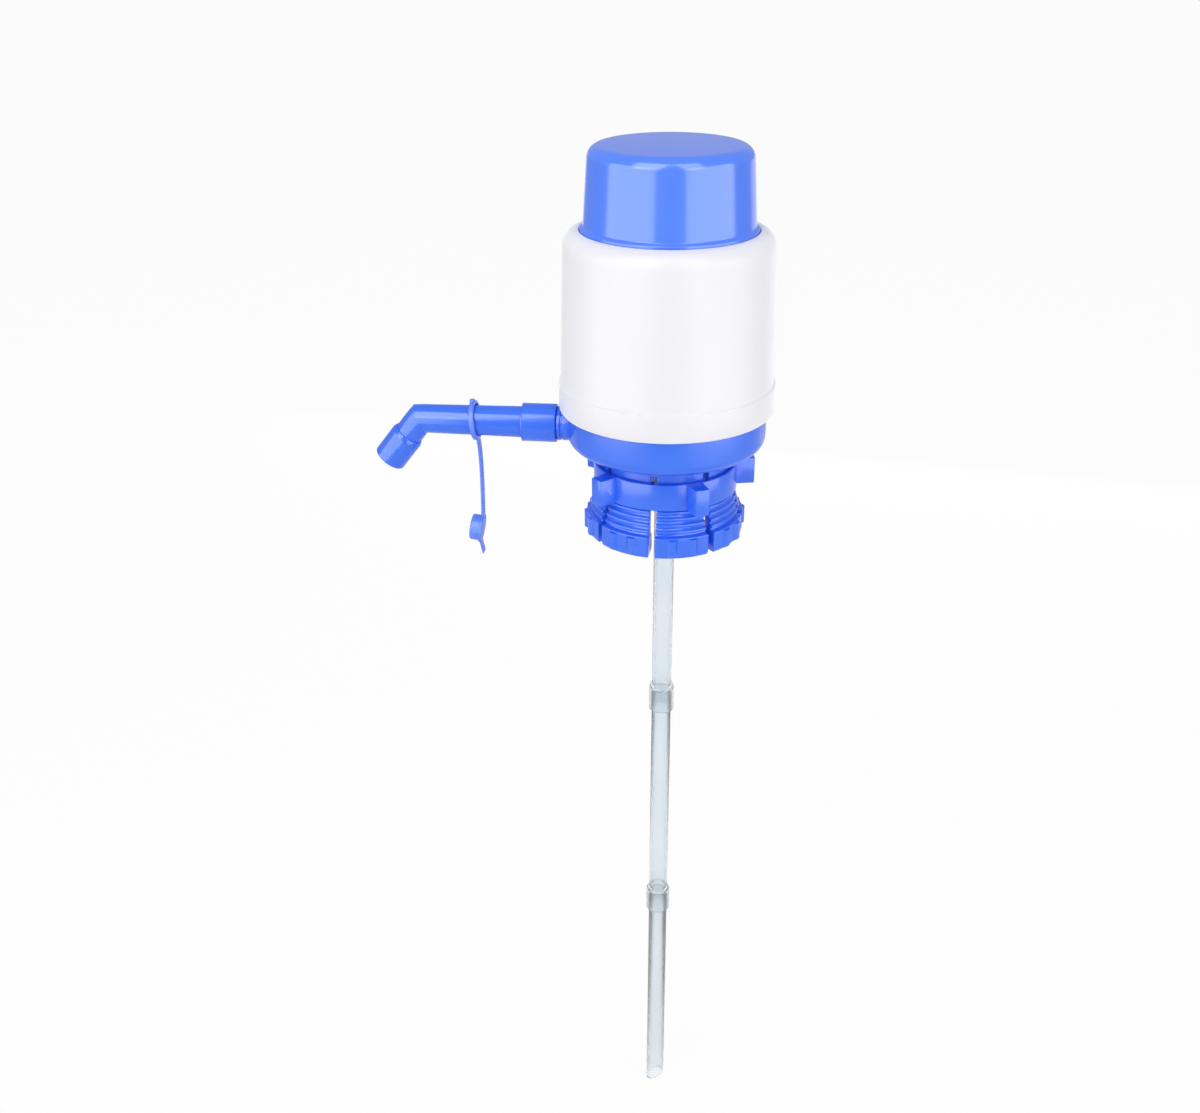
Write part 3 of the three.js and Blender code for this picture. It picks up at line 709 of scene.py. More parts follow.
class NodeTree:
    """Short way of building a Geometry Nodes tree with named inputs."""

    def __init__(self, name: str, inputs: Sequence[tuple[str, str]]) -> None:
        """Starts a tree.

        Args:
            name: Name of the tree.
            inputs: Name and socket type of each input after the geometry.
        """
        self.tree = bpy.data.node_groups.new(name, "GeometryNodeTree")
        face = self.tree.interface
        face.new_socket("Geometry", in_out="INPUT", socket_type="NodeSocketGeometry")
        self.identifiers = {
            label: face.new_socket(label, in_out="INPUT", socket_type=kind).identifier
            for label, kind in (*inputs, ("Material", "NodeSocketMaterial"))
        }
        face.new_socket("Geometry", in_out="OUTPUT", socket_type="NodeSocketGeometry")
        self.entry = self.add("NodeGroupInput")

    def add(self, kind: str, **settings: object) -> bpy.types.Node:
        """Adds a node with its settings.

        Args:
            kind: Node type.
            settings: Settings of the node.

        Returns:
            The node.
        """
        made = self.tree.nodes.new(kind)
        for key, value in settings.items():
            setattr(made, key, value)
        return made

    def wire(self, start: bpy.types.NodeSocket, end: bpy.types.NodeSocket) -> None:
        """Links two sockets."""
        self.tree.links.new(start, end)

    def maths(self, operation: str, *terms: object) -> bpy.types.NodeSocket:
        """Adds a Math node.

        Args:
            operation: Its operation.
            terms: Sockets or numbers for its inputs.

        Returns:
            Its output socket.
        """
        node = self.add("ShaderNodeMath", operation=operation)
        for socket, term in zip(node.inputs, terms):
            if isinstance(term, bpy.types.NodeSocket):
                self.wire(term, socket)
            else:
                socket.default_value = term
        return node.outputs[0]

    def vector(self, x: object = 0.0, y: object = 0.0, z: object = 0.0) -> bpy.types.NodeSocket:
        """Adds a vector from three sockets or numbers, and gives its output.

        Args:
            x: Part along X, as a socket or a number.
            y: Part along Y, as a socket or a number.
            z: Part along Z, as a socket or a number.

        Returns:
            The vector's socket.
        """
        node = self.add("ShaderNodeCombineXYZ")
        for socket, term in zip(node.inputs, (x, y, z)):
            if isinstance(term, bpy.types.NodeSocket):
                self.wire(term, socket)
            else:
                socket.default_value = term
        return node.outputs[0]

    def end(self, geometry: bpy.types.NodeSocket) -> None:
        """Ends the tree in Realize Instances and Set Material.

        Args:
            geometry: The last geometry.
        """
        real = self.add("GeometryNodeRealizeInstances")
        dressed = self.add("GeometryNodeSetMaterial")
        leave = self.add("NodeGroupOutput")
        self.wire(geometry, real.inputs["Geometry"])
        self.wire(real.outputs["Geometry"], dressed.inputs["Geometry"])
        self.wire(self.entry.outputs["Material"], dressed.inputs["Material"])
        self.wire(dressed.outputs["Geometry"], leave.inputs["Geometry"])

    def run(self, name: str, source: bpy.types.Object, **values: object) -> bpy.types.Object:
        """Runs the tree on an object.

        Args:
            name: Name of the result.
            source: Object whose mesh goes in, which is removed.
            values: Input values by name, with underscores for spaces.

        Returns:
            A plain mesh object.
        """
        modifier = source.modifiers.new(self.tree.name, "NODES")
        modifier.node_group = self.tree
        for key, value in values.items():
            modifier[self.identifiers[key.replace("_", " ")]] = value
        return shaded(plain(source, name))


class RoundRepeat(NodeTree):
    """Repeats a shape that stands at the front of the pump round its axis."""

    def __init__(self) -> None:
        """Builds the tree."""
        super().__init__("round_repeat", (
            ("Count", "NodeSocketInt"), ("Circle", "NodeSocketFloat"), ("Turn", "NodeSocketFloat"),
            ("Weld", "NodeSocketFloat"),
        ))
        sockets = self.entry.outputs
        points = self.add("GeometryNodePoints")
        self.wire(sockets["Count"], points.inputs["Count"])
        index = self.add("GeometryNodeInputIndex").outputs[0]
        share = self.maths("DIVIDE", index, sockets["Count"])
        angle = self.maths("MULTIPLY_ADD", share, 2 * math.pi, sockets["Turn"])
        x = self.maths("MULTIPLY", self.maths("SINE", angle), sockets["Circle"])
        across = self.maths("MULTIPLY", self.maths("COSINE", angle), sockets["Circle"])
        y = self.maths("MULTIPLY", across, -1.0)
        self.wire(self.vector(x, y), points.inputs["Position"])
        copies = self.add("GeometryNodeInstanceOnPoints")
        self.wire(points.outputs[0], copies.inputs["Points"])
        self.wire(sockets["Geometry"], copies.inputs["Instance"])
        self.wire(self.vector(z=angle), copies.inputs["Rotation"])
        real = self.add("GeometryNodeRealizeInstances")
        self.wire(copies.outputs[0], real.inputs["Geometry"])
        weld = self.add("GeometryNodeMergeByDistance")
        self.wire(real.outputs[0], weld.inputs["Geometry"])
        self.wire(sockets["Weld"], weld.inputs["Distance"])
        self.end(weld.outputs[0])


class Coil(NodeTree):
    """Winds a wire in a helix about the pump's axis."""

    def __init__(self) -> None:
        """Builds the tree."""
        super().__init__("coil", (
            ("Turns", "NodeSocketFloat"), ("Radius", "NodeSocketFloat"),
            ("Wire", "NodeSocketFloat"), ("Low", "NodeSocketFloat"), ("High", "NodeSocketFloat"),
            ("Steps", "NodeSocketInt"), ("Sides", "NodeSocketInt"),
        ))
        sockets = self.entry.outputs
        spiral = self.add("GeometryNodeCurveSpiral")
        self.wire(sockets["Steps"], spiral.inputs["Resolution"])
        self.wire(sockets["Turns"], spiral.inputs["Rotations"])
        self.wire(sockets["Radius"], spiral.inputs["Start Radius"])
        self.wire(sockets["Radius"], spiral.inputs["End Radius"])
        height = self.maths("SUBTRACT", sockets["High"], sockets["Low"])
        self.wire(height, spiral.inputs["Height"])
        lift = self.add("GeometryNodeSetPosition")
        self.wire(spiral.outputs[0], lift.inputs["Geometry"])
        self.wire(self.vector(z=sockets["Low"]), lift.inputs["Offset"])
        section = self.add("GeometryNodeCurvePrimitiveCircle")
        self.wire(sockets["Sides"], section.inputs["Resolution"])
        self.wire(self.maths("DIVIDE", sockets["Wire"], 2.0), section.inputs["Radius"])
        wound = self.add("GeometryNodeCurveToMesh")
        wound.inputs["Fill Caps"].default_value = True
        self.wire(lift.outputs[0], wound.inputs["Curve"])
        self.wire(section.outputs[0], wound.inputs["Profile Curve"])
        self.end(wound.outputs[0])


class FoldedWall(NodeTree):
    """Makes the outside of a folded tube, whose radius swings between a root and a crest."""

    def __init__(self) -> None:
        """Builds the tree."""
        super().__init__("folded_wall", (
            ("Folds", "NodeSocketInt"), ("Root", "NodeSocketFloat"), ("Crest", "NodeSocketFloat"),
            ("Low", "NodeSocketFloat"), ("High", "NodeSocketFloat"),
            ("Around", "NodeSocketInt"), ("Along", "NodeSocketInt"), ("Weld", "NodeSocketFloat"),
        ))
        sockets = self.entry.outputs
        grid = self.add("GeometryNodeMeshGrid")
        grid.inputs["Size X"].default_value = 1.0
        grid.inputs["Size Y"].default_value = 1.0
        self.wire(sockets["Around"], grid.inputs["Vertices X"])
        self.wire(sockets["Along"], grid.inputs["Vertices Y"])
        place = self.add("ShaderNodeSeparateXYZ")
        self.wire(self.add("GeometryNodeInputPosition").outputs[0], place.inputs[0])
        angle = self.maths("MULTIPLY", self.maths("ADD", place.outputs["X"], 0.5), 2 * math.pi)
        along = self.maths("ADD", place.outputs["Y"], 0.5)
        fold = self.maths("MULTIPLY", self.maths("MULTIPLY", along, sockets["Folds"]), 2 * math.pi)
        wave = self.maths("MULTIPLY", self.maths("COSINE", fold), -FOLD_CRISPNESS)
        swing = self.maths("DIVIDE", self.maths("ARCSINE", wave), 2 * math.asin(FOLD_CRISPNESS))
        share = self.maths("ADD", swing, 0.5)
        depth = self.maths("SUBTRACT", sockets["Crest"], sockets["Root"])
        radius = self.maths("MULTIPLY_ADD", share, depth, sockets["Root"])
        rise = self.maths("SUBTRACT", sockets["High"], sockets["Low"])
        x = self.maths("MULTIPLY", self.maths("SINE", angle), radius)
        across = self.maths("MULTIPLY", self.maths("COSINE", angle), radius)
        y = self.maths("MULTIPLY", across, -1.0)
        z = self.maths("MULTIPLY_ADD", along, rise, sockets["Low"])
        shape = self.add("GeometryNodeSetPosition")
        self.wire(grid.outputs["Mesh"], shape.inputs["Geometry"])
        self.wire(self.vector(x, y, z), shape.inputs["Position"])
        weld = self.add("GeometryNodeMergeByDistance")
        self.wire(shape.outputs[0], weld.inputs["Geometry"])
        self.wire(sockets["Weld"], weld.inputs["Distance"])
        self.end(weld.outputs[0])


# Sub-assemblies


@dataclass
class Workshop:
    """Finishes and trees that the sub-assemblies share."""

    palette: Palette = field(default_factory=Palette)
    repeat: RoundRepeat = field(default_factory=RoundRepeat)
    coil: Coil = field(default_factory=Coil)
    folds: FoldedWall = field(default_factory=FoldedWall)

    def ringed(self, name: str, source: bpy.types.Object, slot: Slot, count: int,
               circle: float = 0.0, turn: float = 0.0, weld: float = 0.0) -> bpy.types.Object:
        """Repeats a shape round the pump's axis.

        Args:
            name: Name of the result.
            source: Shape at the front, which is removed.
            slot: Material slot of the copies.
            count: Number of copies.
            circle: Radius at which they stand.
            turn: Angle of the first from the front, in degrees.
            weld: Distance in metres under which their points merge.

        Returns:
            The copies as one plain mesh object.
        """
        return self.repeat.run(
            name, source, Count=count, Circle=circle * MM, Turn=math.radians(turn), Weld=weld,
            Material=self.palette.of(slot),
        )

    def dress(self, piece: bpy.types.Object, body: Body, slot: Slot, *nodes: str) -> None:
        """Gives a finished piece its material, body and slot.

        Args:
            piece: The piece, final in its mesh.
            body: CAD body that it rides on.
            slot: Material slot that it takes.
            nodes: CAD nodes that it stands for.
        """
        piece.data.materials.clear()
        piece.data.materials.append(self.palette.of(slot))
        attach(piece, body.value)
        if nodes:
            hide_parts(*nodes)
        log.info("%s rides on %s in %s, %d faces", piece.name, body.value, slot.value,
                 len(piece.data.polygons))

    def carry(self, node: str, slot: Slot) -> None:
        """Gives a CAD node that stays its material.

        Args:
            node: Name of the node.
            slot: Material slot.
        """
        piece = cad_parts[node]
        piece.data.materials.clear()
        piece.data.materials.append(self.palette.of(slot))
        log.info("%s stays as the packed solid in %s", node, slot.value)


@dataclass
class Cover:
    """White cover with a raised band at its foot and a rolled shoulder round the cap."""

    foot_z: float = 22.0
    top_z: float = 108.7
    foot_radius: float = 51.6
    head_radius: float = 50.0
    wall: float = 2.0
    band_top_z: float = 35.5
    band_step: float = 1.0
    band_slope: float = 0.5
    band_root: float = 0.05
    shoulder: float = 8.2
    roll: float = 84.0
    inner_roll: float = 80.0
    opening: float = 42.2
    rim_fit: float = 49.6
    rim_stop_z: float = 33.3
    inner_foot: float = 49.0
    foot_rounding: float = 0.7
    roll_steps: int = 16
    inner_roll_steps: int = 10

    def build(self, shop: Workshop) -> None:
        """Builds and dresses the cover.

        Args:
            shop: Workshop with the finishes and the node trees.
        """
        band = self.foot_radius + self.band_step
        shoulder_z = self.top_z - self.shoulder
        inner_head = self.head_radius - self.wall
        corners = [
            (band, self.foot_z, self.foot_rounding),
            (band, self.band_top_z, BEADED),
            (self.foot_radius + self.band_root, self.band_top_z + self.band_slope, NEAT),
            *arc((self.opening, shoulder_z), (self.head_radius - self.opening, self.shoulder),
                 0, self.roll, self.roll_steps),
            (self.opening, self.top_z, SOFT),
            (self.opening, self.top_z - self.wall, NEAT),
            *arc((self.opening, shoulder_z), (inner_head - self.opening, self.shoulder - self.wall),
                 self.inner_roll, 0, self.inner_roll_steps),
            (self.inner_foot, self.rim_stop_z, 0.0),
            (self.rim_fit, self.rim_stop_z, 0.0),
            (self.rim_fit, self.foot_z, NEAT),
        ]
        piece = turned("outer_cover_shell", rounded(corners), SHELL_STEPS)
        shop.dress(piece, Body.BASE, Slot.WHITE_SHELL, "outer_cover")


@dataclass
class PushCap:
    """Blue cap that is pressed down, with its lip and guide skirt."""

    top_z: float = 146.5
    head_radius: float = 38.4
    foot_radius: float = 40.2
    wall: float = 2.0
    corner: float = 6.0
    corner_start: float = 3.0
    corner_steps: int = 14
    inner_corner_steps: int = 8
    lip_radius: float = 41.9
    lip_top_z: float = 110.9
    lip_slope: float = 1.1
    lip_root: float = 0.1
    stop_z: float = 106.1
    stop_step: float = 0.5
    guide_radius: float = 44.6
    guide_z: float = 99.0
    boss_radius: float = 2.85
    boss_hole: float = 1.35
    boss_length: float = 10.5
    boss_circle: float = 16.25
    bosses: int = 3

    def build(self, shop: Workshop) -> None:
        """Builds and dresses the cap with its bosses.

        Args:
            shop: Workshop with the finishes and the node trees.
        """
        ceiling = self.top_z - self.wall
        centre = (self.head_radius - self.corner, self.top_z - self.corner)
        inner = self.corner - self.wall
        corners = [
            (self.guide_radius, self.guide_z, EASED),
            (self.guide_radius, self.stop_z - self.wall, NEAT),
            (self.lip_radius + self.stop_step, self.stop_z, NEAT),
            (self.lip_radius, self.stop_z, 0.0),
            (self.lip_radius, self.lip_top_z - self.lip_slope, SOFT),
            (self.foot_radius + self.lip_root, self.lip_top_z, FULL),
            *arc(centre, (self.corner, self.corner), self.corner_start, 90,
                 self.corner_steps),
            (0, self.top_z, 0),
            (0, ceiling, 0),
            *arc(centre, (inner, inner), 90, self.corner_start, self.inner_corner_steps),
            (self.foot_radius - self.wall, self.lip_top_z, SOFT),
            (self.lip_radius - self.wall, self.stop_z - self.wall, SOFT),
            (self.guide_radius - self.wall, self.guide_z + self.wall, EASED),
            (self.guide_radius - self.wall, self.guide_z, NEAT),
        ]
        shell = turned("cap_shell", rounded(corners), SHELL_STEPS)
        boss = rounded([
            (self.boss_hole, ceiling - self.boss_length, 0),
            (self.boss_radius, ceiling - self.boss_length, NEAT),
            (self.boss_radius, ceiling + self.wall / 2, 0),
            (self.boss_hole, ceiling + self.wall / 2, 0),
        ])
        bosses = shop.ringed("cap_bosses", turned("cap_boss", boss, SMALL_STEPS), Slot.BLUE_CAP,
                             self.bosses, self.boss_circle)
        piece = joined("push_cap_shell", [shell, bosses])
        shop.dress(piece, Body.CAP, Slot.BLUE_CAP, "push_cap")


def along_spout(points: np.ndarray) -> np.ndarray:
    """Turns what stands along +Z so that it runs outwards along the spout."""
    x, y, z = points[:, 0], points[:, 1], points[:, 2]
    return np.stack([-z, y, Spout.axis_z + x], axis=1)


@dataclass
class PumpBase:
    """Blue drum under the cover, with its spigot for the spout and its socket for the dip tube."""

    floor_z: float = 3.0
    floor: float = 3.0
    foot_radius: float = 49.0
    rim_radius: float = 49.3
    wall: float = 2.4
    fillet: float = 6.0
    fillet_end: float = -2.0
    fillet_steps: int = 14
    chamber_rounding: float = 1.0
    rim_z: float = 33.0
    ledge_z: float = 22.0
    ledge: float = 2.3
    bead_z: float = 28.0
    bead: float = 0.8
    bead_half: float = 1.4
    hub_radius: float = 7.4
    hub_top_z: float = 18.2
    duct_radius: float = 7.2
    bore: float = 4.6
    rise_step: float = 0.6
    rise_foot_z: float = -2.0
    socket_radius: float = 6.75
    socket_bore: float = 5.55
    socket_depth: float = 17.0
    rib_outer: float = 18.7
    rib: float = 1.8
    boss_radius: float = 2.85
    boss_hole: float = 1.35
    boss_top_z: float = 23.7
    boss_turn: float = 45.0
    boss_circle: float = 38.8
    bosses: int = 4
    ring_hole_top_z: float = 30.0
    floor_hole_top_z: float = 8.0
    collet_circle: float = 30.9
    collet_turn: float = 62.0
    collet_screws: int = 4
    air_hole: float = 2.4
    air_circle: float = 11.825
    air_holes: int = 2
    spigot_radius: float = 8.45
    spigot_end: float = 53.9
    clip_setbacks: tuple[float, ...] = (3.0, 2.7, 2.0, 1.7)
    clip_depth: float = 0.35
    nose_radius: float = 7.85
    nose: float = 10.1
    groove: float = 2.4
    groove_setback: float = 3.5
    groove_depth: float = 1.4

    def drum(self) -> bpy.types.Object:
        """Builds the drum's turned shell.

        Returns:
            The drum.
        """
        rim_inner = self.rim_radius - self.wall
        chamber = rim_inner - self.ledge
        floor_top = self.floor_z + self.floor
        centre = (self.foot_radius - self.fillet, self.floor_z + self.fillet)
        return turned("drum", rounded([
            (0, self.floor_z, 0),
            *arc(centre, (self.fillet, self.fillet), -90, self.fillet_end, self.fillet_steps),
            (self.rim_radius, self.ledge_z, 0),
            (self.rim_radius, self.bead_z - self.bead_half, 0),
            (self.rim_radius + self.bead, self.bead_z, NEAT),
            (self.rim_radius, self.bead_z + self.bead_half, 0),
            (self.rim_radius, self.rim_z, EASED),
            (rim_inner, self.rim_z, EASED),
            (rim_inner, self.ledge_z, TIGHT),
            (chamber, self.ledge_z, NEAT),
            (chamber, floor_top + self.floor, self.chamber_rounding),
            (chamber - self.floor, floor_top, self.chamber_rounding),
            (0, floor_top, 0),
        ]), SHELL_STEPS)

    def spigot(self) -> bpy.types.Object:
        """Builds the stepped spigot with its clip groove and its seal groove.

        Returns:
            The spigot.
        """
        end = self.spigot_end + self.nose
        groove_end = end - self.groove_setback
        groove_start = groove_end - self.groove
        deep = self.nose_radius - self.groove_depth
        root = self.foot_radius - self.wall
        depths = (0.0, self.clip_depth, self.clip_depth, 0.0)
        return turned("spigot", rounded([
            (0, root, 0),
            (self.spigot_radius, root, 0),
            *((self.spigot_radius - depth, self.spigot_end - setback, CRISP)
              for depth, setback in zip(depths, self.clip_setbacks)),
            (self.spigot_radius, self.spigot_end, NEAT),
            (self.nose_radius, self.spigot_end, TIGHT),
            (self.nose_radius, groove_start, CRISP),
            (deep, groove_start, CRISP),
            (deep, groove_end, CRISP),
            (self.nose_radius, groove_end, CRISP),
            (self.nose_radius, end, FULL),
            (0, end, 0),
        ]), PIPE_STEPS, along_spout)

    def build(self, shop: Workshop) -> None:
        """Builds and dresses the base as one solid.

        Args:
            shop: Workshop with the finishes and the node trees.
        """
        overlap = 1.0
        parts = [
            (Joining.ADD, rod("hub", self.hub_radius, self.floor_z, self.hub_top_z, PIPE_STEPS)),
            (Joining.ADD, rod("socket", self.socket_radius, self.floor_z - self.socket_depth,
                              self.floor_z + overlap, PIPE_STEPS)),
            (Joining.ADD, rod("duct", self.duct_radius, 0, self.foot_radius - self.wall / 2,
                              PIPE_STEPS, along_spout)),
            (Joining.ADD, self.spigot()),
            (Joining.ADD, turned("gasket_rib", rounded([
                (self.rib_outer - self.rib, self.floor_z - self.rib, TIGHT),
                (self.rib_outer, self.floor_z - self.rib, TIGHT),
                (self.rib_outer, self.floor_z + overlap, 0),
                (self.rib_outer - self.rib, self.floor_z + overlap, 0),
            ]), PIPE_STEPS)),
            (Joining.ADD, shop.ringed(
                "ring_bosses",
                rod("ring_boss", self.boss_radius, self.floor_z + self.floor - overlap,
                    self.boss_top_z),
                Slot.BLUE_SHELL, self.bosses, self.boss_circle, self.boss_turn)),
            (Joining.CUT, shop.ringed(
                "ring_holes",
                rod("ring_hole", self.boss_hole, self.floor_z + 2 * self.floor,
                    self.ring_hole_top_z),
                Slot.BLUE_SHELL, self.bosses, self.boss_circle, self.boss_turn)),
            (Joining.CUT, shop.ringed(
                "collet_holes", rod("collet_hole", self.boss_hole, 0, self.floor_hole_top_z),
                Slot.BLUE_SHELL, self.collet_screws, self.collet_circle, self.collet_turn)),
            (Joining.CUT, shop.ringed(
                "air_holes", rod("air_hole", self.air_hole, 0, self.floor_hole_top_z),
                Slot.BLUE_SHELL, self.air_holes, self.air_circle)),
            (Joining.CUT, rod("tube_bore", self.socket_bore,
                              self.floor_z - self.socket_depth - overlap, -overlap, PIPE_STEPS)),
            (Joining.CUT, rod("rise_bore", self.bore - self.rise_step, self.rise_foot_z,
                              Spout.axis_z, PIPE_STEPS)),
            (Joining.CUT, rod("duct_bore", self.bore, -self.bore / 2,
                              self.spigot_end + self.nose + overlap, PIPE_STEPS, along_spout)),
        ]
        piece = worked("pump_base_moulding", self.drum(), parts)
        shop.dress(piece, Body.BASE, Slot.BLUE_SHELL, "pump_base")


@dataclass
class NeckCollet:
    """Slotted collet whose eight fingers grip the neck, with grip rings and a toothed flange."""

    foot_z: float = -43.2
    top_z: float = 2.7
    radius: float = 33.6
    wall: float = 2.4
    flange_z: float = -32.0
    flange_radius: float = 39.4
    flange_foot: float = 38.7
    foot_height: float = 1.4
    cone_radius: float = 36.8
    cone_top_z: float = -19.6
    rings: int = 4
    first_ring: float = 0.6
    ring_height: float = 1.1
    ring_half: float = 1.15
    crest_below: float = 0.6
    crest_above: float = 0.5
    pad_radius: float = 27.9
    pad_z: float = -35.2
    pad_ramp: float = 3.0
    slit_z: float = -2.2
    slit: float = 3.2
    slit_fade: float = 1.2
    fingers: int = 8
    turn: float = -5.5
    teeth: int = 24
    tooth: float = 1.4
    tooth_half: float = 1.6
    tooth_flank: float = 2.2
    tooth_drop: float = 0.9
    tooth_start: float = 0.1
    tooth_foot: float = 0.9
    tooth_head: float = 0.3
    tooth_face: float = 0.2
    flange_edge: float = 0.35
    edge: float = 0.45
    face_columns: int = 30
    column_gap: float = 0.4

    def outline(self) -> np.ndarray:
        """Gives the outline of a finger, with a point at the slit's top on both sides.

        Returns:
            Rows of radius and height.
        """
        pitch = (self.cone_top_z - self.flange_z) / self.rings
        rings: list[Corner] = []
        for ring in range(self.rings):
            z = self.flange_z + (ring + self.first_ring) * pitch
            share = (z - self.flange_z) / (self.cone_top_z - self.flange_z)
            skin = self.cone_radius + (self.radius - self.cone_radius) * share
            rings += [
                (skin, z - self.ring_half, CRISP),
                (skin + self.ring_height, z - self.crest_below, BEADED),
                (skin + self.ring_height, z + self.crest_above, BEADED),
                (skin, z + self.ring_half, CRISP),
            ]
        inner = self.radius - self.wall
        return rounded([
            (self.pad_radius, self.foot_z, EASED),
            (self.flange_foot, self.foot_z, EASED),
            (self.flange_radius, self.foot_z + self.foot_height, SOFT),
            (self.flange_radius, self.flange_z - self.tooth_drop - self.flange_edge, 0),
            (self.flange_radius, self.flange_z - self.tooth_drop, 0),
            (self.flange_radius, self.flange_z - self.flange_edge, SOFT),
            (self.cone_radius, self.flange_z, NEAT),
            *rings,
            (self.radius, self.cone_top_z + self.ring_half, NEAT),
            (self.radius, self.slit_z - self.slit_fade, 0),
            (self.radius, self.slit_z, 0),
            (self.radius, self.top_z, 0),
            (inner, self.top_z, 0),
            (inner, self.slit_z, 0),
            (inner, self.slit_z - self.slit_fade, 0),
            (inner, self.pad_z + self.pad_ramp, SOFT),
            (self.pad_radius, self.pad_z, SOFT),
        ], arc_steps=3)

    def span(self) -> float:
        """Gives the angle from one slit's centre to the next, in radians."""
        return 2 * math.pi / self.fingers

    def crests(self) -> list[float]:
        """Gives the angle of each whole tooth past the slit's centre, in degrees."""
        return [tooth * 360 / self.teeth for tooth in range(1, self.teeth // self.fingers)]

    def steps(self) -> list[float]:
        """Gives where the face's columns stand, with some on both edges of each tooth's flanks.

        Returns:
            Shares of the way between the roundings at the finger's two ends.
        """
        rounding = math.asin((self.slit / 2 + self.edge) / self.flange_radius)
        edges = []
        for centre in self.crests():
            for reach in (self.tooth_half, self.tooth_half + self.tooth_flank):
                for side in (-1, 1):
                    angle = math.radians(centre + side * reach)
                    edges.append((angle - rounding) / (self.span() - 2 * rounding))
        even = [t / self.face_columns for t in range(1, self.face_columns)]
        apart = self.column_gap / self.face_columns
        return sorted(edges + [t for t in even if min(abs(t - e) for e in edges) > apart])

    def columns(self) -> list[Column]:
        """Lists a finger's columns of points, from one slit's centre to the next.

        Returns:
            The stretch of each, how far along it stands, and how far its outline is drawn in.
        """
        half_way = self.edge * (1 - math.sqrt(0.5))
        rounding = [(0.0, self.edge), (half_way, half_way), (self.edge, 0.0)]
        return [
            (Stretch.FIRST_BRIDGE, 0.0, 0.0),
            (Stretch.FIRST_BRIDGE, 0.5, 0.0),
            *((Stretch.FIRST_EDGE, along, inset) for along, inset in rounding),
            *((Stretch.FACE, share, 0.0) for share in self.steps()),
            *((Stretch.LAST_EDGE, along, inset) for along, inset in reversed(rounding)),
            (Stretch.LAST_BRIDGE, 0.5, 0.0),
            (Stretch.LAST_BRIDGE, 0.0, 0.0),
        ]

    def angles(self, stretch: Stretch, along: float, radius: np.ndarray) -> np.ndarray:
        """Gives the angle of each point of a column past the first slit's centre.

        Args:
            stretch: Stretch that the column stands in.
            along: Millimetres into a rounded edge, or else share of the bridge or face.
            radius: Radius of each point.

        Returns:
            The angles in radians.
        """
        if stretch in (Stretch.FIRST_EDGE, Stretch.LAST_EDGE):
            angle = np.arcsin((self.slit / 2 + along) / radius)
        elif stretch is Stretch.FACE:
            rounding = np.arcsin((self.slit / 2 + self.edge) / radius)
            angle = rounding + (self.span() - 2 * rounding) * along
        else:
            angle = np.arcsin(self.slit / 2 / radius) * along
        return self.span() - angle if stretch in (Stretch.LAST_EDGE, Stretch.LAST_BRIDGE) else angle

    def faces(self, outline: np.ndarray, columns: Sequence[Column]) -> list[tuple[int, ...]]:
        """Joins the columns into the closed skin of a finger.

        Args:
            outline: The outline's points.
            columns: The finger's columns.

        Returns:
            Rows of point numbers, for points that are listed column by column.
        """
        count, last = len(outline), len(columns) - 1
        bridges = (Stretch.FIRST_BRIDGE, Stretch.LAST_BRIDGE)
        above = outline[:, 1] >= self.slit_z - SAME
        faces: list[tuple[int, ...]] = []
        for i in range(last):
            bridging = columns[i][0] in bridges or columns[i + 1][0] in bridges
            for j in range(count):
                k = (j + 1) % count
                if bridging and not (above[j] and above[k]):
                    continue
                faces.append((i * count + j, (i + 1) * count + j, (i + 1) * count + k,
                              i * count + k))
        rim = [j for j in range(count) if abs(outline[j, 1] - self.slit_z) < SAME]
        outer = max(rim, key=lambda j: outline[j, 0])
        inner = min(rim, key=lambda j: outline[j, 0])
        for i in (0, 1, last - 2, last - 1):
            faces.append((i * count + outer, i * count + inner,
                          (i + 1) * count + inner, (i + 1) * count + outer))
        below = [j for j in range(count) if outline[j, 1] <= self.slit_z + SAME]
        ordered = sorted(below, key=lambda j: (j - inner) % count)
        for column in (2, last - 2):
            faces.append(tuple(column * count + j for j in ordered))
        return faces

    def sector(self) -> bpy.types.Object:
        """Builds one finger with half a bridge on either side, from slit centre to slit centre.

        Returns:
            The finger.
        """
        outline, columns = self.outline(), self.columns()
        ahead = np.roll(outline, -1, axis=0) - outline
        normal = np.stack([ahead[:, 1], -ahead[:, 0]], axis=1)
        normal /= np.linalg.norm(normal, axis=1, keepdims=True)
        normal = normal + np.roll(normal, 1, axis=0)
        normal /= np.linalg.norm(normal, axis=1, keepdims=True)
        fade = np.clip((self.slit_z - outline[:, 1]) / self.slit_fade, 0, 1)
        rows = []
        for stretch, along, inset in columns:
            place = outline - normal * (inset * fade)[:, None]
            radius, height = place[:, 0], place[:, 1]
            angle = self.angles(stretch, along, radius)
            radius = radius + self.bump(np.degrees(angle), outline)
            rows.append(np.stack([radius * np.sin(angle), -radius * np.cos(angle), height], axis=1))
        faces = self.faces(outline, columns)
        return mesh_object("collet_sector", np.concatenate(rows), faces)

    def bump(self, angle: np.ndarray, outline: np.ndarray) -> np.ndarray:
        """Gives how far the flange's grip teeth stand out.

        Args:
            angle: Angle of each outline point past the slit's centre, in degrees.
            outline: The outline's points.

        Returns:
            Added radius at each point.
        """
        offset = np.min([np.abs(angle - centre) for centre in self.crests()], axis=0)
        rise = np.clip((self.tooth_half + self.tooth_flank - offset) / self.tooth_flank, 0, 1)
        face = outline[:, 0] > self.flange_foot + self.tooth_face
        low = np.clip((outline[:, 1] - self.foot_z - self.tooth_start) / self.tooth_foot, 0, 1)
        below = self.flange_z - self.tooth_drop - outline[:, 1]
        high = np.clip(below / self.tooth_head, 0, 1)
        return self.tooth * rise * low * high * face

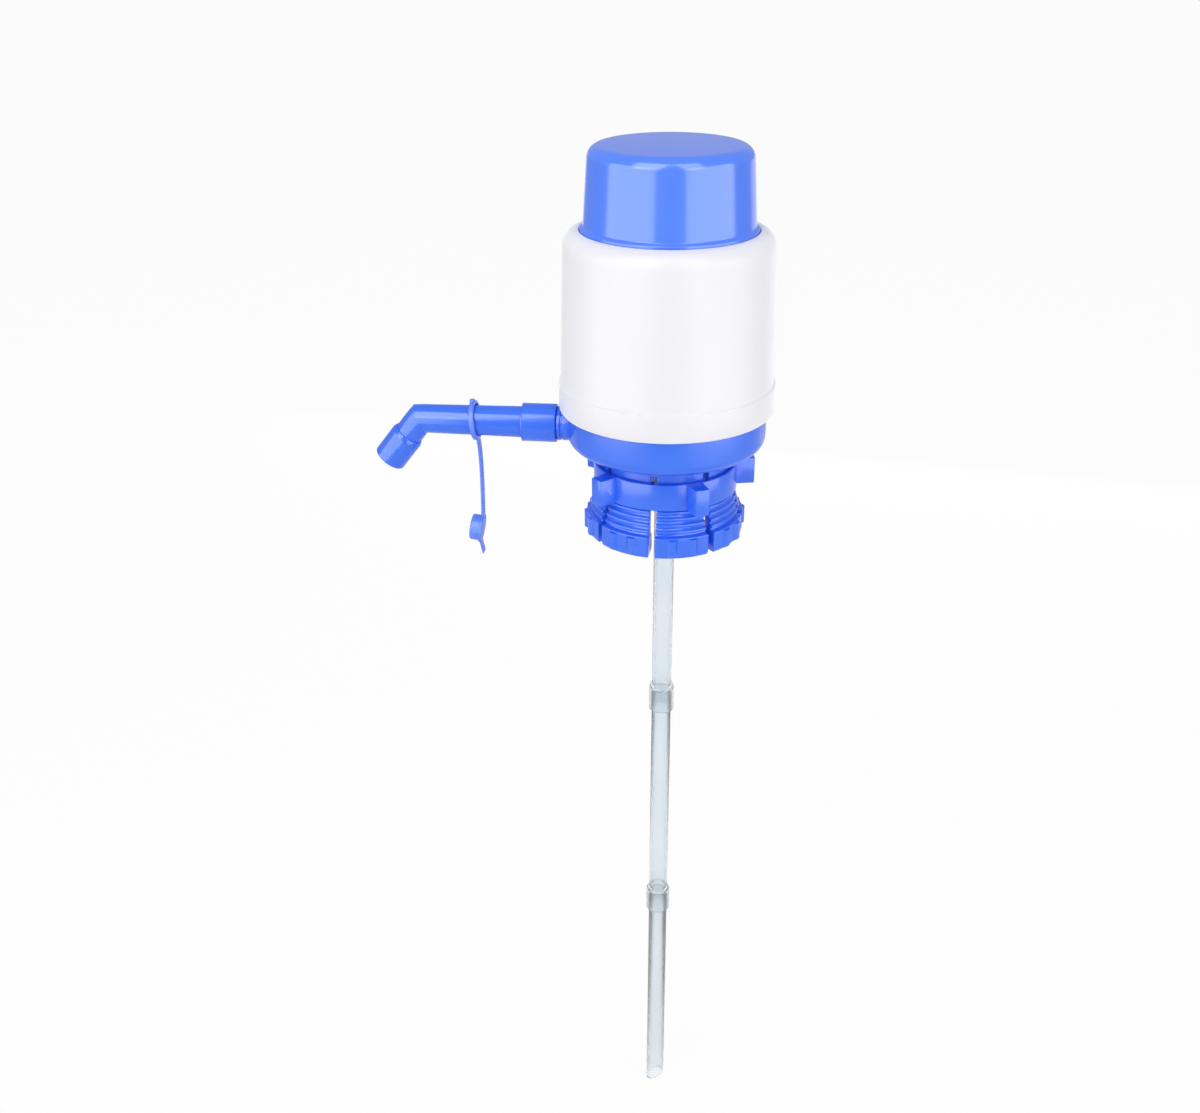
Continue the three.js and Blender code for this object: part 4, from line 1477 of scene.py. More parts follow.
    def build(self, shop: Workshop) -> None:
        """Builds and dresses the collet.

        Args:
            shop: Workshop with the finishes and the node trees.
        """
        piece = shop.ringed("neck_collet_moulding", self.sector(), Slot.BLUE_SHELL, self.fingers,
                            turn=self.turn, weld=WELD)
        shop.dress(piece, Body.BASE, Slot.BLUE_SHELL, "neck_collet")


@dataclass
class ClampRing:
    """Ring that draws the collet tight, with five grip lugs."""

    top_z: float = -5.7
    height: float = 13.6
    inner_radius: float = 34.4
    outer_radius: float = 35.9
    reach: float = 8.8
    width: float = 7.0
    draft: float = 0.5
    lug_root: float = 0.8
    lug_edge: float = 0.5
    lugs: int = 5
    turn: float = 27.5

    def lug(self) -> bpy.types.Object:
        """Builds the lug at the front, with rounded edges.

        Returns:
            The lug.
        """
        foot = self.top_z - self.height
        root, tip = self.outer_radius - self.lug_root, self.outer_radius + self.reach
        half, wide = self.width / 2, self.width / 2 + self.draft
        points = np.array([
            (-wide, -root, foot), (wide, -root, foot), (half, -tip, foot), (-half, -tip, foot),
            (-wide, -root, self.top_z), (wide, -root, self.top_z), (half, -tip, self.top_z),
            (-half, -tip, self.top_z),
        ])
        block = mesh_object("lug_block", points, CLOCKWISE_BOX)
        bevel = block.modifiers.new("edges", "BEVEL")
        bevel.width = self.lug_edge * MM
        bevel.segments = 3
        return shaded(plain(block, "lug"))

    def build(self, shop: Workshop) -> None:
        """Builds and dresses the clamp ring.

        Args:
            shop: Workshop with the finishes and the node trees.
        """
        foot = self.top_z - self.height
        band = turned("clamp_band", rounded([
            (self.inner_radius, foot, NEAT),
            (self.outer_radius, foot, SOFT),
            (self.outer_radius, self.top_z, SOFT),
            (self.inner_radius, self.top_z, NEAT),
        ]), FINE_STEPS)
        lugs = shop.ringed("clamp_lugs", self.lug(), Slot.BLUE_SHELL, self.lugs, turn=self.turn)
        piece = worked("clamp_ring_moulding", band, [(Joining.ADD, lugs)])
        shop.dress(piece, Body.CLAMP, Slot.BLUE_SHELL, "clamp_ring")


@dataclass
class Spout:
    """Coupling, bent pipe and nozzle sleeve."""

    axis_z: float = 10.6
    coupling_start: float = 54.2
    coupling_length: float = 17.4
    coupling_radius: float = 9.6
    coupling_bore: float = 8.2
    coupling_rounding: float = 0.8
    lip: float = 0.1
    lip_width: float = 0.7
    lip_foot: float = 0.9
    pipe_start: float = 64.3
    head_radius: float = 7.9
    tail_radius: float = 7.2
    wall: float = 1.6
    elbow_x: float = 123.9
    bend: float = 7.8
    bend_steps: int = 24
    angle: float = 52.0
    slant: float = 28.2
    nozzle_length: float = 17.9
    nozzle_radius: float = 8.3
    nozzle_wall: float = 1.3
    nozzle_flare: float = 2.0
    flare_rounding: float = 1.5
    nose: float = 11.0
    gap: float = 0.3
    seam: float = 0.05
    mitre: float = 0.8

    def setback(self) -> float:
        """Gives how far the bend starts before the elbow's corner."""
        return self.bend * math.tan(math.radians(self.angle) / 2)

    def straight(self) -> float:
        """Gives the length of the pipe before its bend."""
        return self.elbow_x - self.setback() - self.pipe_start

    def curve(self) -> float:
        """Gives the length of the bend."""
        return self.bend * math.radians(self.angle)

    def place(self, run: np.ndarray) -> tuple[np.ndarray, np.ndarray, np.ndarray]:
        """Finds places along the pipe's axis.

        Args:
            run: Length along the pipe.

        Returns:
            Sideways shift, length along the spout, and angle of the axis at each.
        """
        full = math.radians(self.angle)
        angle = np.clip((run - self.straight()) / self.bend, 0, full)
        level = np.minimum(run, self.straight())
        slant = np.maximum(run - self.straight() - self.curve(), 0)
        side = -self.bend * (1 - np.cos(angle)) - slant * np.sin(angle)
        ahead = level + self.bend * np.sin(angle) + slant * np.cos(angle)
        return side, ahead, angle

    def bent(self, points: np.ndarray) -> np.ndarray:
        """Bends a straight pipe, with a crisper outer corner, and turns it along the spout.

        Args:
            points: Points of the straight pipe, as rows of x, y and z.

        Returns:
            The points of the bent pipe.
        """
        side, ahead, angle = self.place(points[:, 2])
        nearer = np.minimum(angle, math.radians(self.angle) - angle)
        stretch = 1 + self.mitre * (1 / np.cos(nearer) - 1)
        reach = (self.bend + points[:, 0]) * stretch - self.bend
        x = side + reach * np.cos(angle)
        z = ahead + reach * np.sin(angle) + self.pipe_start
        return along_spout(np.stack([x, points[:, 1], z], axis=1))

    def pipe(self) -> bpy.types.Object:
        """Builds the pipe, whose end fits inside the nozzle sleeve.

        Returns:
            The pipe.
        """
        elbow_end = self.straight() + self.curve()
        sleeve = elbow_end + self.slant - self.setback() - self.nozzle_length
        end = sleeve + self.nose
        fit = self.nozzle_radius - self.nozzle_wall - self.gap
        runs = [
            self.straight() + self.curve() * i / self.bend_steps for i in range(self.bend_steps + 1)
        ]
        outer = [(self.tail_radius, run, 0.0) for run in runs]
        inner = [(self.tail_radius - self.wall, run, 0.0) for run in reversed(runs)]
        outline = rounded([
            (self.head_radius - self.wall, 0, NEAT),
            (self.head_radius, 0, NEAT),
            *outer,
            (self.tail_radius, sleeve - self.seam, PARTING),
            (fit, sleeve - self.seam, 0),
            (fit, end, NEAT),
            (self.tail_radius - self.wall, end, NEAT),
            *inner,
        ])
        return turned("spout_pipe_moulding", outline, PIPE_STEPS, self.bent)

    def coupling(self) -> bpy.types.Object:
        """Builds the coupling that clips on the spigot.

        Returns:
            The coupling.
        """
        start, end = self.coupling_start, self.coupling_start + self.coupling_length
        return turned("spout_coupling_moulding", rounded([
            (self.coupling_bore, start, TIGHT),
            (self.coupling_radius, start, self.coupling_rounding),
            (self.coupling_radius - self.lip, end - self.lip_foot, TIGHT),
            (self.coupling_radius + self.lip, end - self.lip_width, TIGHT),
            (self.coupling_radius + self.lip, end, BEADED),
            (self.coupling_bore, end, TIGHT),
        ]), PIPE_STEPS, along_spout)

    def sleeve_place(self, points: np.ndarray) -> np.ndarray:
        """Places the nozzle sleeve on the slanted end of the pipe.

        Args:
            points: Points of a sleeve that stands on the origin.

        Returns:
            The points at the pipe's end.
        """
        start = self.straight() + self.curve() + self.slant - self.setback() - self.nozzle_length
        side, ahead, angle = (float(v) for v in self.place(np.array(start)))
        x = side + points[:, 0] * math.cos(angle) - points[:, 2] * math.sin(angle)
        z = (self.pipe_start + ahead
             + points[:, 0] * math.sin(angle) + points[:, 2] * math.cos(angle))
        return along_spout(np.stack([x, points[:, 1], z], axis=1))

    def nozzle(self) -> bpy.types.Object:
        """Builds the nozzle sleeve.

        Returns:
            The sleeve.
        """
        inner = self.nozzle_radius - self.nozzle_wall
        return turned("nozzle_sleeve_moulding", rounded([
            (inner, 0, PARTING),
            (self.tail_radius + self.gap, 0, NEAT),
            (self.nozzle_radius, self.nozzle_flare, self.flare_rounding),
            (self.nozzle_radius, self.nozzle_length, SOFT),
            (inner, self.nozzle_length, NEAT),
        ]), PIPE_STEPS, self.sleeve_place)

    def build(self, shop: Workshop) -> None:
        """Builds and dresses the spout.

        Args:
            shop: Workshop with the finishes and the node trees.
        """
        shop.dress(self.coupling(), Body.SPOUT, Slot.BLUE_SHELL, "spout_coupling")
        shop.dress(self.pipe(), Body.SPOUT, Slot.BLUE_SHELL, "spout_pipe")
        shop.dress(self.nozzle(), Body.SPOUT, Slot.BLUE_SHELL, "nozzle_sleeve")


@dataclass
class SpoutPlug:
    """Plug for the nozzle with its strap and the ring that hangs it on the pipe."""

    at: float = 95.9
    ring_inner: float = 8.3
    ring_wall: float = 1.7
    ring_width: float = 2.6
    ring_tilt: float = 6.0
    knob_radius: float = 1.4
    knob_height: float = 1.1
    strap_length: float = 43.2
    strap_thick: float = 1.6
    strap_width: float = 4.4
    strap_steps: int = 40
    drift: float = 1.8
    bow: float = 0.9
    bend: float = 8.0
    disc_radius: float = 7.5
    disc: float = 1.6
    plug_radius: float = 6.7
    plug_length: float = 4.8
    plug_rounding: float = 1.1
    tilt: float = 8.0
    tab: float = 6.2
    tab_width: float = 5.0
    tab_thick: float = 0.9
    tab_root: float = 1.0
    tab_edge: float = 0.35
    tab_bend: float = 20.0

    def hung(self, points: np.ndarray) -> np.ndarray:
        """Places points given from the ring's centre, with +Z outwards and -X down."""
        return along_spout(points + np.array((0, 0, self.at)))

    def leaned(self, points: np.ndarray, angle: float) -> np.ndarray:
        """Turns points about the Y axis by an angle in degrees, so that +Z goes towards +X.

        Args:
            points: Rows of x, y and z.
            angle: Angle in degrees.

        Returns:
            The turned points.
        """
        a = math.radians(angle)
        x = points[:, 0] * math.cos(a) + points[:, 2] * math.sin(a)
        z = -points[:, 0] * math.sin(a) + points[:, 2] * math.cos(a)
        return np.stack([x, points[:, 1], z], axis=1)

    def ring_place(self, points: np.ndarray) -> np.ndarray:
        """Places the ring, whose foot leans towards the drum."""
        return self.hung(self.leaned(points, -self.ring_tilt))

    def knob_place(self, points: np.ndarray) -> np.ndarray:
        """Stands the knob on top of the ring."""
        return self.ring_place(self.leaned(points, 90))

    def strap(self) -> bpy.types.Object:
        """Builds the strap as a bowed bar with rounded edges.

        Returns:
            The strap.
        """
        outer = self.ring_inner + self.ring_wall
        lean = math.radians(self.ring_tilt)
        middle = outer - self.ring_wall / 2
        start = np.array((-middle * math.cos(lean), -middle * math.sin(lean)))
        guide = np.array((start[0] - self.bend, -self.drift - self.bow))
        end = np.array((-outer - self.strap_length, -self.drift))
        steps = self.strap_steps
        half, side = self.strap_thick / 2, self.strap_width / 2
        corners = ((-side, -half), (side, -half), (side, half), (-side, half))
        section = rounded([(x, y, FULL) for x, y in corners])
        count = len(section)
        rows = []
        for i in range(steps + 1):
            t = i / steps
            x, z = start * (1 - t) ** 2 + guide * 2 * t * (1 - t) + end * t * t
            rows.append(np.stack([np.full(count, x), section[:, 0], z + section[:, 1]], axis=1))
        faces: list[tuple[int, ...]] = [
            (i * count + j, i * count + (j + 1) % count, (i + 1) * count + (j + 1) % count,
             (i + 1) * count + j)
            for i in range(steps) for j in range(count)
        ]
        faces += [tuple(range(count)), tuple(steps * count + j for j in range(count))]
        return mesh_object("strap", self.hung(np.concatenate(rows)), faces)

    def plug_place(self, points: np.ndarray) -> np.ndarray:
        """Places the tilted plug at the end of the strap.

        Args:
            points: Points of a plug that stands on the origin.

        Returns:
            The points at the strap's end.
        """
        a = math.radians(self.tilt)
        outer = self.ring_inner + self.ring_wall
        drop = outer + self.strap_length + self.disc_radius * math.cos(a) - self.strap_thick / 2
        ahead = self.disc_radius * math.sin(a) - self.drift - self.strap_thick / 2
        return self.hung(self.leaned(points, self.tilt) + np.array((-drop, 0, ahead)))

    def tab_place(self, points: np.ndarray) -> np.ndarray:
        """Places the pull tab, bent back from the edge of the plug's disc."""
        bent = self.leaned(points, -self.tab_bend)
        return self.plug_place(bent - np.array((self.disc_radius, 0, 0)))

    def build(self, shop: Workshop) -> None:
        """Builds and dresses the plug, strap and ring as one moulding.

        Args:
            shop: Workshop with the finishes and the node trees.
        """
        half = self.ring_width / 2
        outer = self.ring_inner + self.ring_wall
        ring = turned("tether_ring", rounded([
            (self.ring_inner, -half, NEAT), (outer, -half, FULL), (outer, half, FULL),
            (self.ring_inner, half, NEAT),
        ]), PIPE_STEPS, self.ring_place)
        knob = turned("ring_knob", rounded([
            (0, outer - self.ring_wall / 2, 0), (self.knob_radius, outer - self.ring_wall / 2, 0),
            (self.knob_radius, outer + self.knob_height, FULL), (0, outer + self.knob_height, 0),
        ]), SMALL_STEPS, self.knob_place)
        top = self.disc + self.plug_length
        head = turned("plug_head", rounded([
            (0, 0, 0), (self.disc_radius, 0, SOFT), (self.disc_radius, self.disc, EASED),
            (self.plug_radius, self.disc, TIGHT), (self.plug_radius, top, self.plug_rounding),
            (0, top, 0),
        ]), PIPE_STEPS, self.plug_place)
        wide = self.tab_width / 2
        corners = [
            (-self.tab, -wide), (-self.tab, wide), (self.tab_root, wide), (self.tab_root, -wide),
        ]
        points = np.array([(x, y, z) for z in (0.0, self.tab_thick) for x, y in corners])
        block = mesh_object("tab_block", self.tab_place(points), CLOCKWISE_BOX)
        bevel = block.modifiers.new("edges", "BEVEL")
        bevel.width = self.tab_edge * MM
        bevel.segments = 3
        tab = shaded(plain(block, "plug_tab"))
        parts = [(Joining.ADD, part) for part in (knob, self.strap(), head, tab)]
        piece = worked("spout_plug_moulding", ring, parts)
        shop.dress(piece, Body.TETHER, Slot.TETHER, "spout_plug")


@dataclass
class DipTube:
    """Three lengths of clear tube, joined by sockets, down to the water."""

    radius: float = 5.25
    wall: float = 1.25
    length: float = 151.7
    socket: float = 13.0
    socket_wall: float = 1.2
    taper: float = 4.0
    shoulder_rounding: float = 2.0
    gap: float = 0.3
    top_z: float = -1.3
    cut: float = 6.0
    names: tuple[str, ...] = ("dip_tube_upper", "dip_tube_middle", "dip_tube_lower")

    def build(self, shop: Workshop) -> None:
        """Builds and dresses the three lengths.

        Args:
            shop: Workshop with the finishes and the node trees.
        """
        bore = self.radius - self.wall
        socket_bore = self.radius + self.gap
        for i, node in enumerate(self.names):
            top = self.top_z - i * (self.length - self.socket + self.gap)
            foot = top - self.length
            if node == self.names[-1]:
                tube = turned("cut_tube", rounded([
                    (bore, foot, 0), (self.radius, foot, 0), (self.radius, top, NEAT),
                    (bore, top, TIGHT),
                ]), MIDDLE_STEPS)
                wide, high, below = 2 * self.radius, foot + self.cut, foot - 1.0
                wedge = mesh_object("tube_cut", np.array([
                    (-wide, -wide, below), (wide, -wide, below), (wide, wide, below),
                    (-wide, wide, below), (-self.radius, -wide, foot), (self.radius, -wide, high),
                    (self.radius, wide, high), (-self.radius, wide, foot),
                ]), BOX)
                piece = worked(f"{node}_clear", tube, [(Joining.CUT, wedge)])
            else:
                shoulder = foot + self.socket
                piece = turned(f"{node}_clear", rounded([
                    (bore, top, TIGHT), (self.radius, top, NEAT),
                    (self.radius, shoulder + self.taper, self.shoulder_rounding),
                    (socket_bore + self.socket_wall, shoulder, self.shoulder_rounding),
                    (socket_bore + self.socket_wall, foot, EASED), (socket_bore, foot, TIGHT),
                    (socket_bore, shoulder, PARTING), (bore, shoulder, TIGHT),
                ]), MIDDLE_STEPS)
            shop.dress(piece, Body.BASE, Slot.TUBE, node)


@dataclass
class Bellows:
    """Folded bellows, its return spring, and the fixed end that they stand on."""

    joint: str = "cap_press"
    keep: float = 0.7
    fixed_z: float = 26.7
    foot_z: float = 26.7
    top_z: float = 133.7
    root: float = 27.0
    crest: float = 33.0
    wall: float = 1.1
    flange: float = 1.4
    foot_rise: float = 2.7
    foot_radius: float = 36.0
    foot_flare: float = 0.2
    head_radius: float = 30.0
    overlap: float = 0.1
    port: float = 9.0
    folds: int = 9
    fold_steps: int = 12
    spring_radius: float = 22.5
    spring_wire: float = 1.8
    spring_turns: float = 9.0
    spring_low: float = 27.6
    spring_high: float = 128.8
    spring_keep: float = 0.688
    spring_steps: int = 48
    spring_sides: int = 12

    def flattened(self, piece: bpy.types.Object) -> None:
        """Gives a piece its own copy of its mesh."""
        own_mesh(piece)

    def build(self, shop: Workshop) -> None:
        """Builds and dresses the bellows and the spring.

        Args:
            shop: Workshop with the finishes and the node trees.
        """
        low, high = self.foot_z + self.flange + self.foot_rise, self.top_z - self.flange
        seed = linked("fold_seed", bpy.data.meshes.new("fold_seed"))
        wall = shop.folds.run(
            "folds", seed, Folds=self.folds, Root=self.root * MM, Crest=self.crest * MM,
            Low=low * MM, High=high * MM, Around=BELLOWS_STEPS + 1,
            Along=self.folds * self.fold_steps + 1, Weld=WELD,
            Material=shop.palette.of(Slot.BELLOWS),
        )
        thick = wall.modifiers.new("wall", "SOLIDIFY")
        thick.thickness = self.wall * MM
        thick.offset = -1.0
        wall = plain(wall, "folded_wall")
        foot = turned("bellows_foot", rounded([
            (self.root - self.wall, self.foot_z, TIGHT), (self.foot_radius, self.foot_z, EASED),
            (self.foot_radius, self.foot_z + self.flange, EASED),
            (self.root + self.foot_flare, self.foot_z + self.flange, NEAT),
            (self.root, low + self.overlap, 0), (self.root - self.wall, low + self.overlap, 0),
        ]), BELLOWS_STEPS)
        head = turned("bellows_head", rounded([
            (self.port, high, TIGHT), (self.head_radius, high, EASED),
            (self.head_radius, self.top_z, EASED), (self.port, self.top_z, TIGHT),
        ]), BELLOWS_STEPS)
        piece = joined("bellows_moulding", [wall, foot, head])
        shop.dress(piece, Body.BASE, Slot.BELLOWS, "bellows")
        self.flattened(piece)
        seed = linked("coil_seed", bpy.data.meshes.new("coil_seed"))
        spring = shop.coil.run(
            "return_spring_wire", seed, Turns=self.spring_turns, Radius=self.spring_radius * MM,
            Wire=self.spring_wire * MM, Low=self.spring_low * MM, High=self.spring_high * MM,
            Steps=self.spring_steps, Sides=self.spring_sides,
            Material=shop.palette.of(Slot.SPRING),
        )
        shop.dress(spring, Body.BASE, Slot.SPRING, "return_spring")
        self.flattened(spring)


@dataclass
class Valve:
    """Disc valve with its stem and retaining bulb."""

    node: str
    body: Body
    low: float
    high: float
    radius: float = 10.0
    thick: float = 1.4
    stem: float = 1.5
    bulb: float = 2.5
    bulb_height: float = 1.6
    lift: float = 1.2
    gap: float = 0.3

    def build(self, shop: Workshop) -> None:
        """Builds and dresses the valve.

        Args:
            shop: Workshop with the finishes and the node trees.
        """
        bulb_z, disc_z = self.high + self.lift + self.gap, self.low - self.gap
        piece = turned(f"{self.node}_disc", rounded([
            (0, disc_z - self.thick, 0), (self.radius, disc_z - self.thick / 2, TIGHT),
            (self.radius, disc_z, PARTING), (self.stem, disc_z, 0.0), (self.stem, bulb_z, 0.0),
            (self.bulb, bulb_z, NEAT), (self.stem, bulb_z + self.bulb_height, SOFT),
            (0, bulb_z + self.bulb_height, 0),
        ]), MIDDLE_STEPS)
        shop.dress(piece, self.body, Slot.VALVE, self.node)


@dataclass
class Seals:
    """Gasket on the neck, seal under the valve plate, and ring seal on the spigot."""

    gasket_inner: float = 19.0
    gasket_outer: float = 27.5
    gasket: float = 2.7
    bead: float = 0.35
    bead_half: float = 0.6
    bead_inset: float = 2.0
    plate_inner: float = 44.6
    plate_outer: float = 46.6
    plate_low: float = 22.3
    plate_high: float = 23.7
    ring_at: float = 59.3
    ring_radius: float = 7.35
    ring_wire: float = 0.6
    ring_sides: int = 24

    def build(self, shop: Workshop) -> None:
        """Builds and dresses the seals.

        Args:
            shop: Workshop with the finishes and the node trees.
        """
        beads = [self.gasket_inner + self.bead_inset, (self.gasket_inner + self.gasket_outer) / 2,
                 self.gasket_outer - self.bead_inset]
        underside: list[Corner] = []
        for radius in beads:
            underside += [
                (radius - self.bead_half, self.bead, PARTING), (radius, 0.0, TIGHT),
                (radius + self.bead_half, self.bead, PARTING),
            ]
        gasket = turned("neck_gasket_ring", rounded([
            (self.gasket_inner, self.bead, TIGHT),
            *underside,
            (self.gasket_outer, self.bead, TIGHT),
            (self.gasket_outer, self.gasket, TIGHT), (self.gasket_inner, self.gasket, TIGHT),
        ]), SEAL_STEPS)
        shop.dress(gasket, Body.BASE, Slot.SEAL, "neck_gasket")
        plate = turned("plate_seal_ring", rounded([
            (self.plate_inner, self.plate_low, NEAT), (self.plate_outer, self.plate_low, NEAT),
            (self.plate_outer, self.plate_high, NEAT), (self.plate_inner, self.plate_high, NEAT),
        ]), SEAL_STEPS)
        shop.dress(plate, Body.BASE, Slot.SEAL, "plate_seal")
        section = np.array(arc((self.ring_radius, self.ring_at), (self.ring_wire, self.ring_wire),
                               0, 360 - 360 / self.ring_sides, self.ring_sides - 1))[:, :2]
        ring = turned("spout_seal_ring", section, PIPE_STEPS, along_spout)
        shop.dress(ring, Body.BASE, Slot.SEAL, "spout_seal")


@dataclass
class Screws:
    """A circle of pan-head screws with crossed recesses, one piece for each CAD node."""

    prefix: str
    body: Body
    count: int
    circle: float
    turn: float
    seat_z: float
    length: float
    points_down: bool = True
    shank: float = 1.0
    neck: float = 0.2
    pitch: float = 0.8
    thread: float = 0.25
    thread_foot: float = 0.1
    thread_end: float = 0.6
    head_radius: float = 2.6
    head: float = 1.8
    cross_long: float = 1.6
    cross_wide: float = 0.35
    cross_depth: float = 0.9
    cross_over: float = 0.5

    def screw(self, name: str, angle: float) -> bpy.types.Object:
        """Builds one screw at its place.

        Args:
            name: Name of the piece.
            angle: Angle from the front, in degrees.

        Returns:
            The screw.
        """
        side = 1.0 if self.points_down else -1.0
        at = np.array(polar(self.circle, angle, self.seat_z))

        def placing(points: np.ndarray) -> np.ndarray:
            """Stands the screw at its place, point down or up."""
            return points * np.array((1.0, side, side)) + at

        thread: list[Corner] = []
        core = self.shank - self.thread
        turns = int((self.length - self.head - self.thread_end) / self.pitch)
        for i in range(turns):
            z = -self.length + self.head + i * self.pitch
            thread += [(core, z + self.thread_foot, 0), (self.shank, z + self.pitch / 2, 0)]
        body = turned("screw_body", rounded([
            (0, -self.length, 0), (core, -self.length + self.head - self.neck, 0), *thread,
            (self.shank, -self.neck, 0), (self.shank, 0, 0), (self.head_radius, 0, TIGHT),
            (self.head_radius, self.head / 2, SOFT), (self.head_radius / 2, self.head, SOFT),
            (0, self.head, 0),
        ], arc_steps=2), SCREW_STEPS, placing)
        bars = []
        low, high = self.head - self.cross_depth, self.head + self.cross_over
        for wide, deep in ((self.cross_wide, self.cross_long), (self.cross_long, self.cross_wide)):
            corners = ((-wide, -deep), (wide, -deep), (wide, deep), (-wide, deep))
            points = np.array([(x, y, z) for z in (low, high) for x, y in corners])
            bars.append((Joining.CUT, mesh_object("recess", placing(points), BOX)))
        return worked(name, body, bars)

    def build(self, shop: Workshop) -> None:
        """Builds and dresses each screw.

        Args:
            shop: Workshop with the finishes and the node trees.
        """
        for i in range(self.count):
            node = f"{self.prefix}_{i + 1}"
            piece = self.screw(f"{node}_steel", self.turn + 360 * i / self.count)
            shop.dress(piece, self.body, Slot.SCREW, node)


# Studio


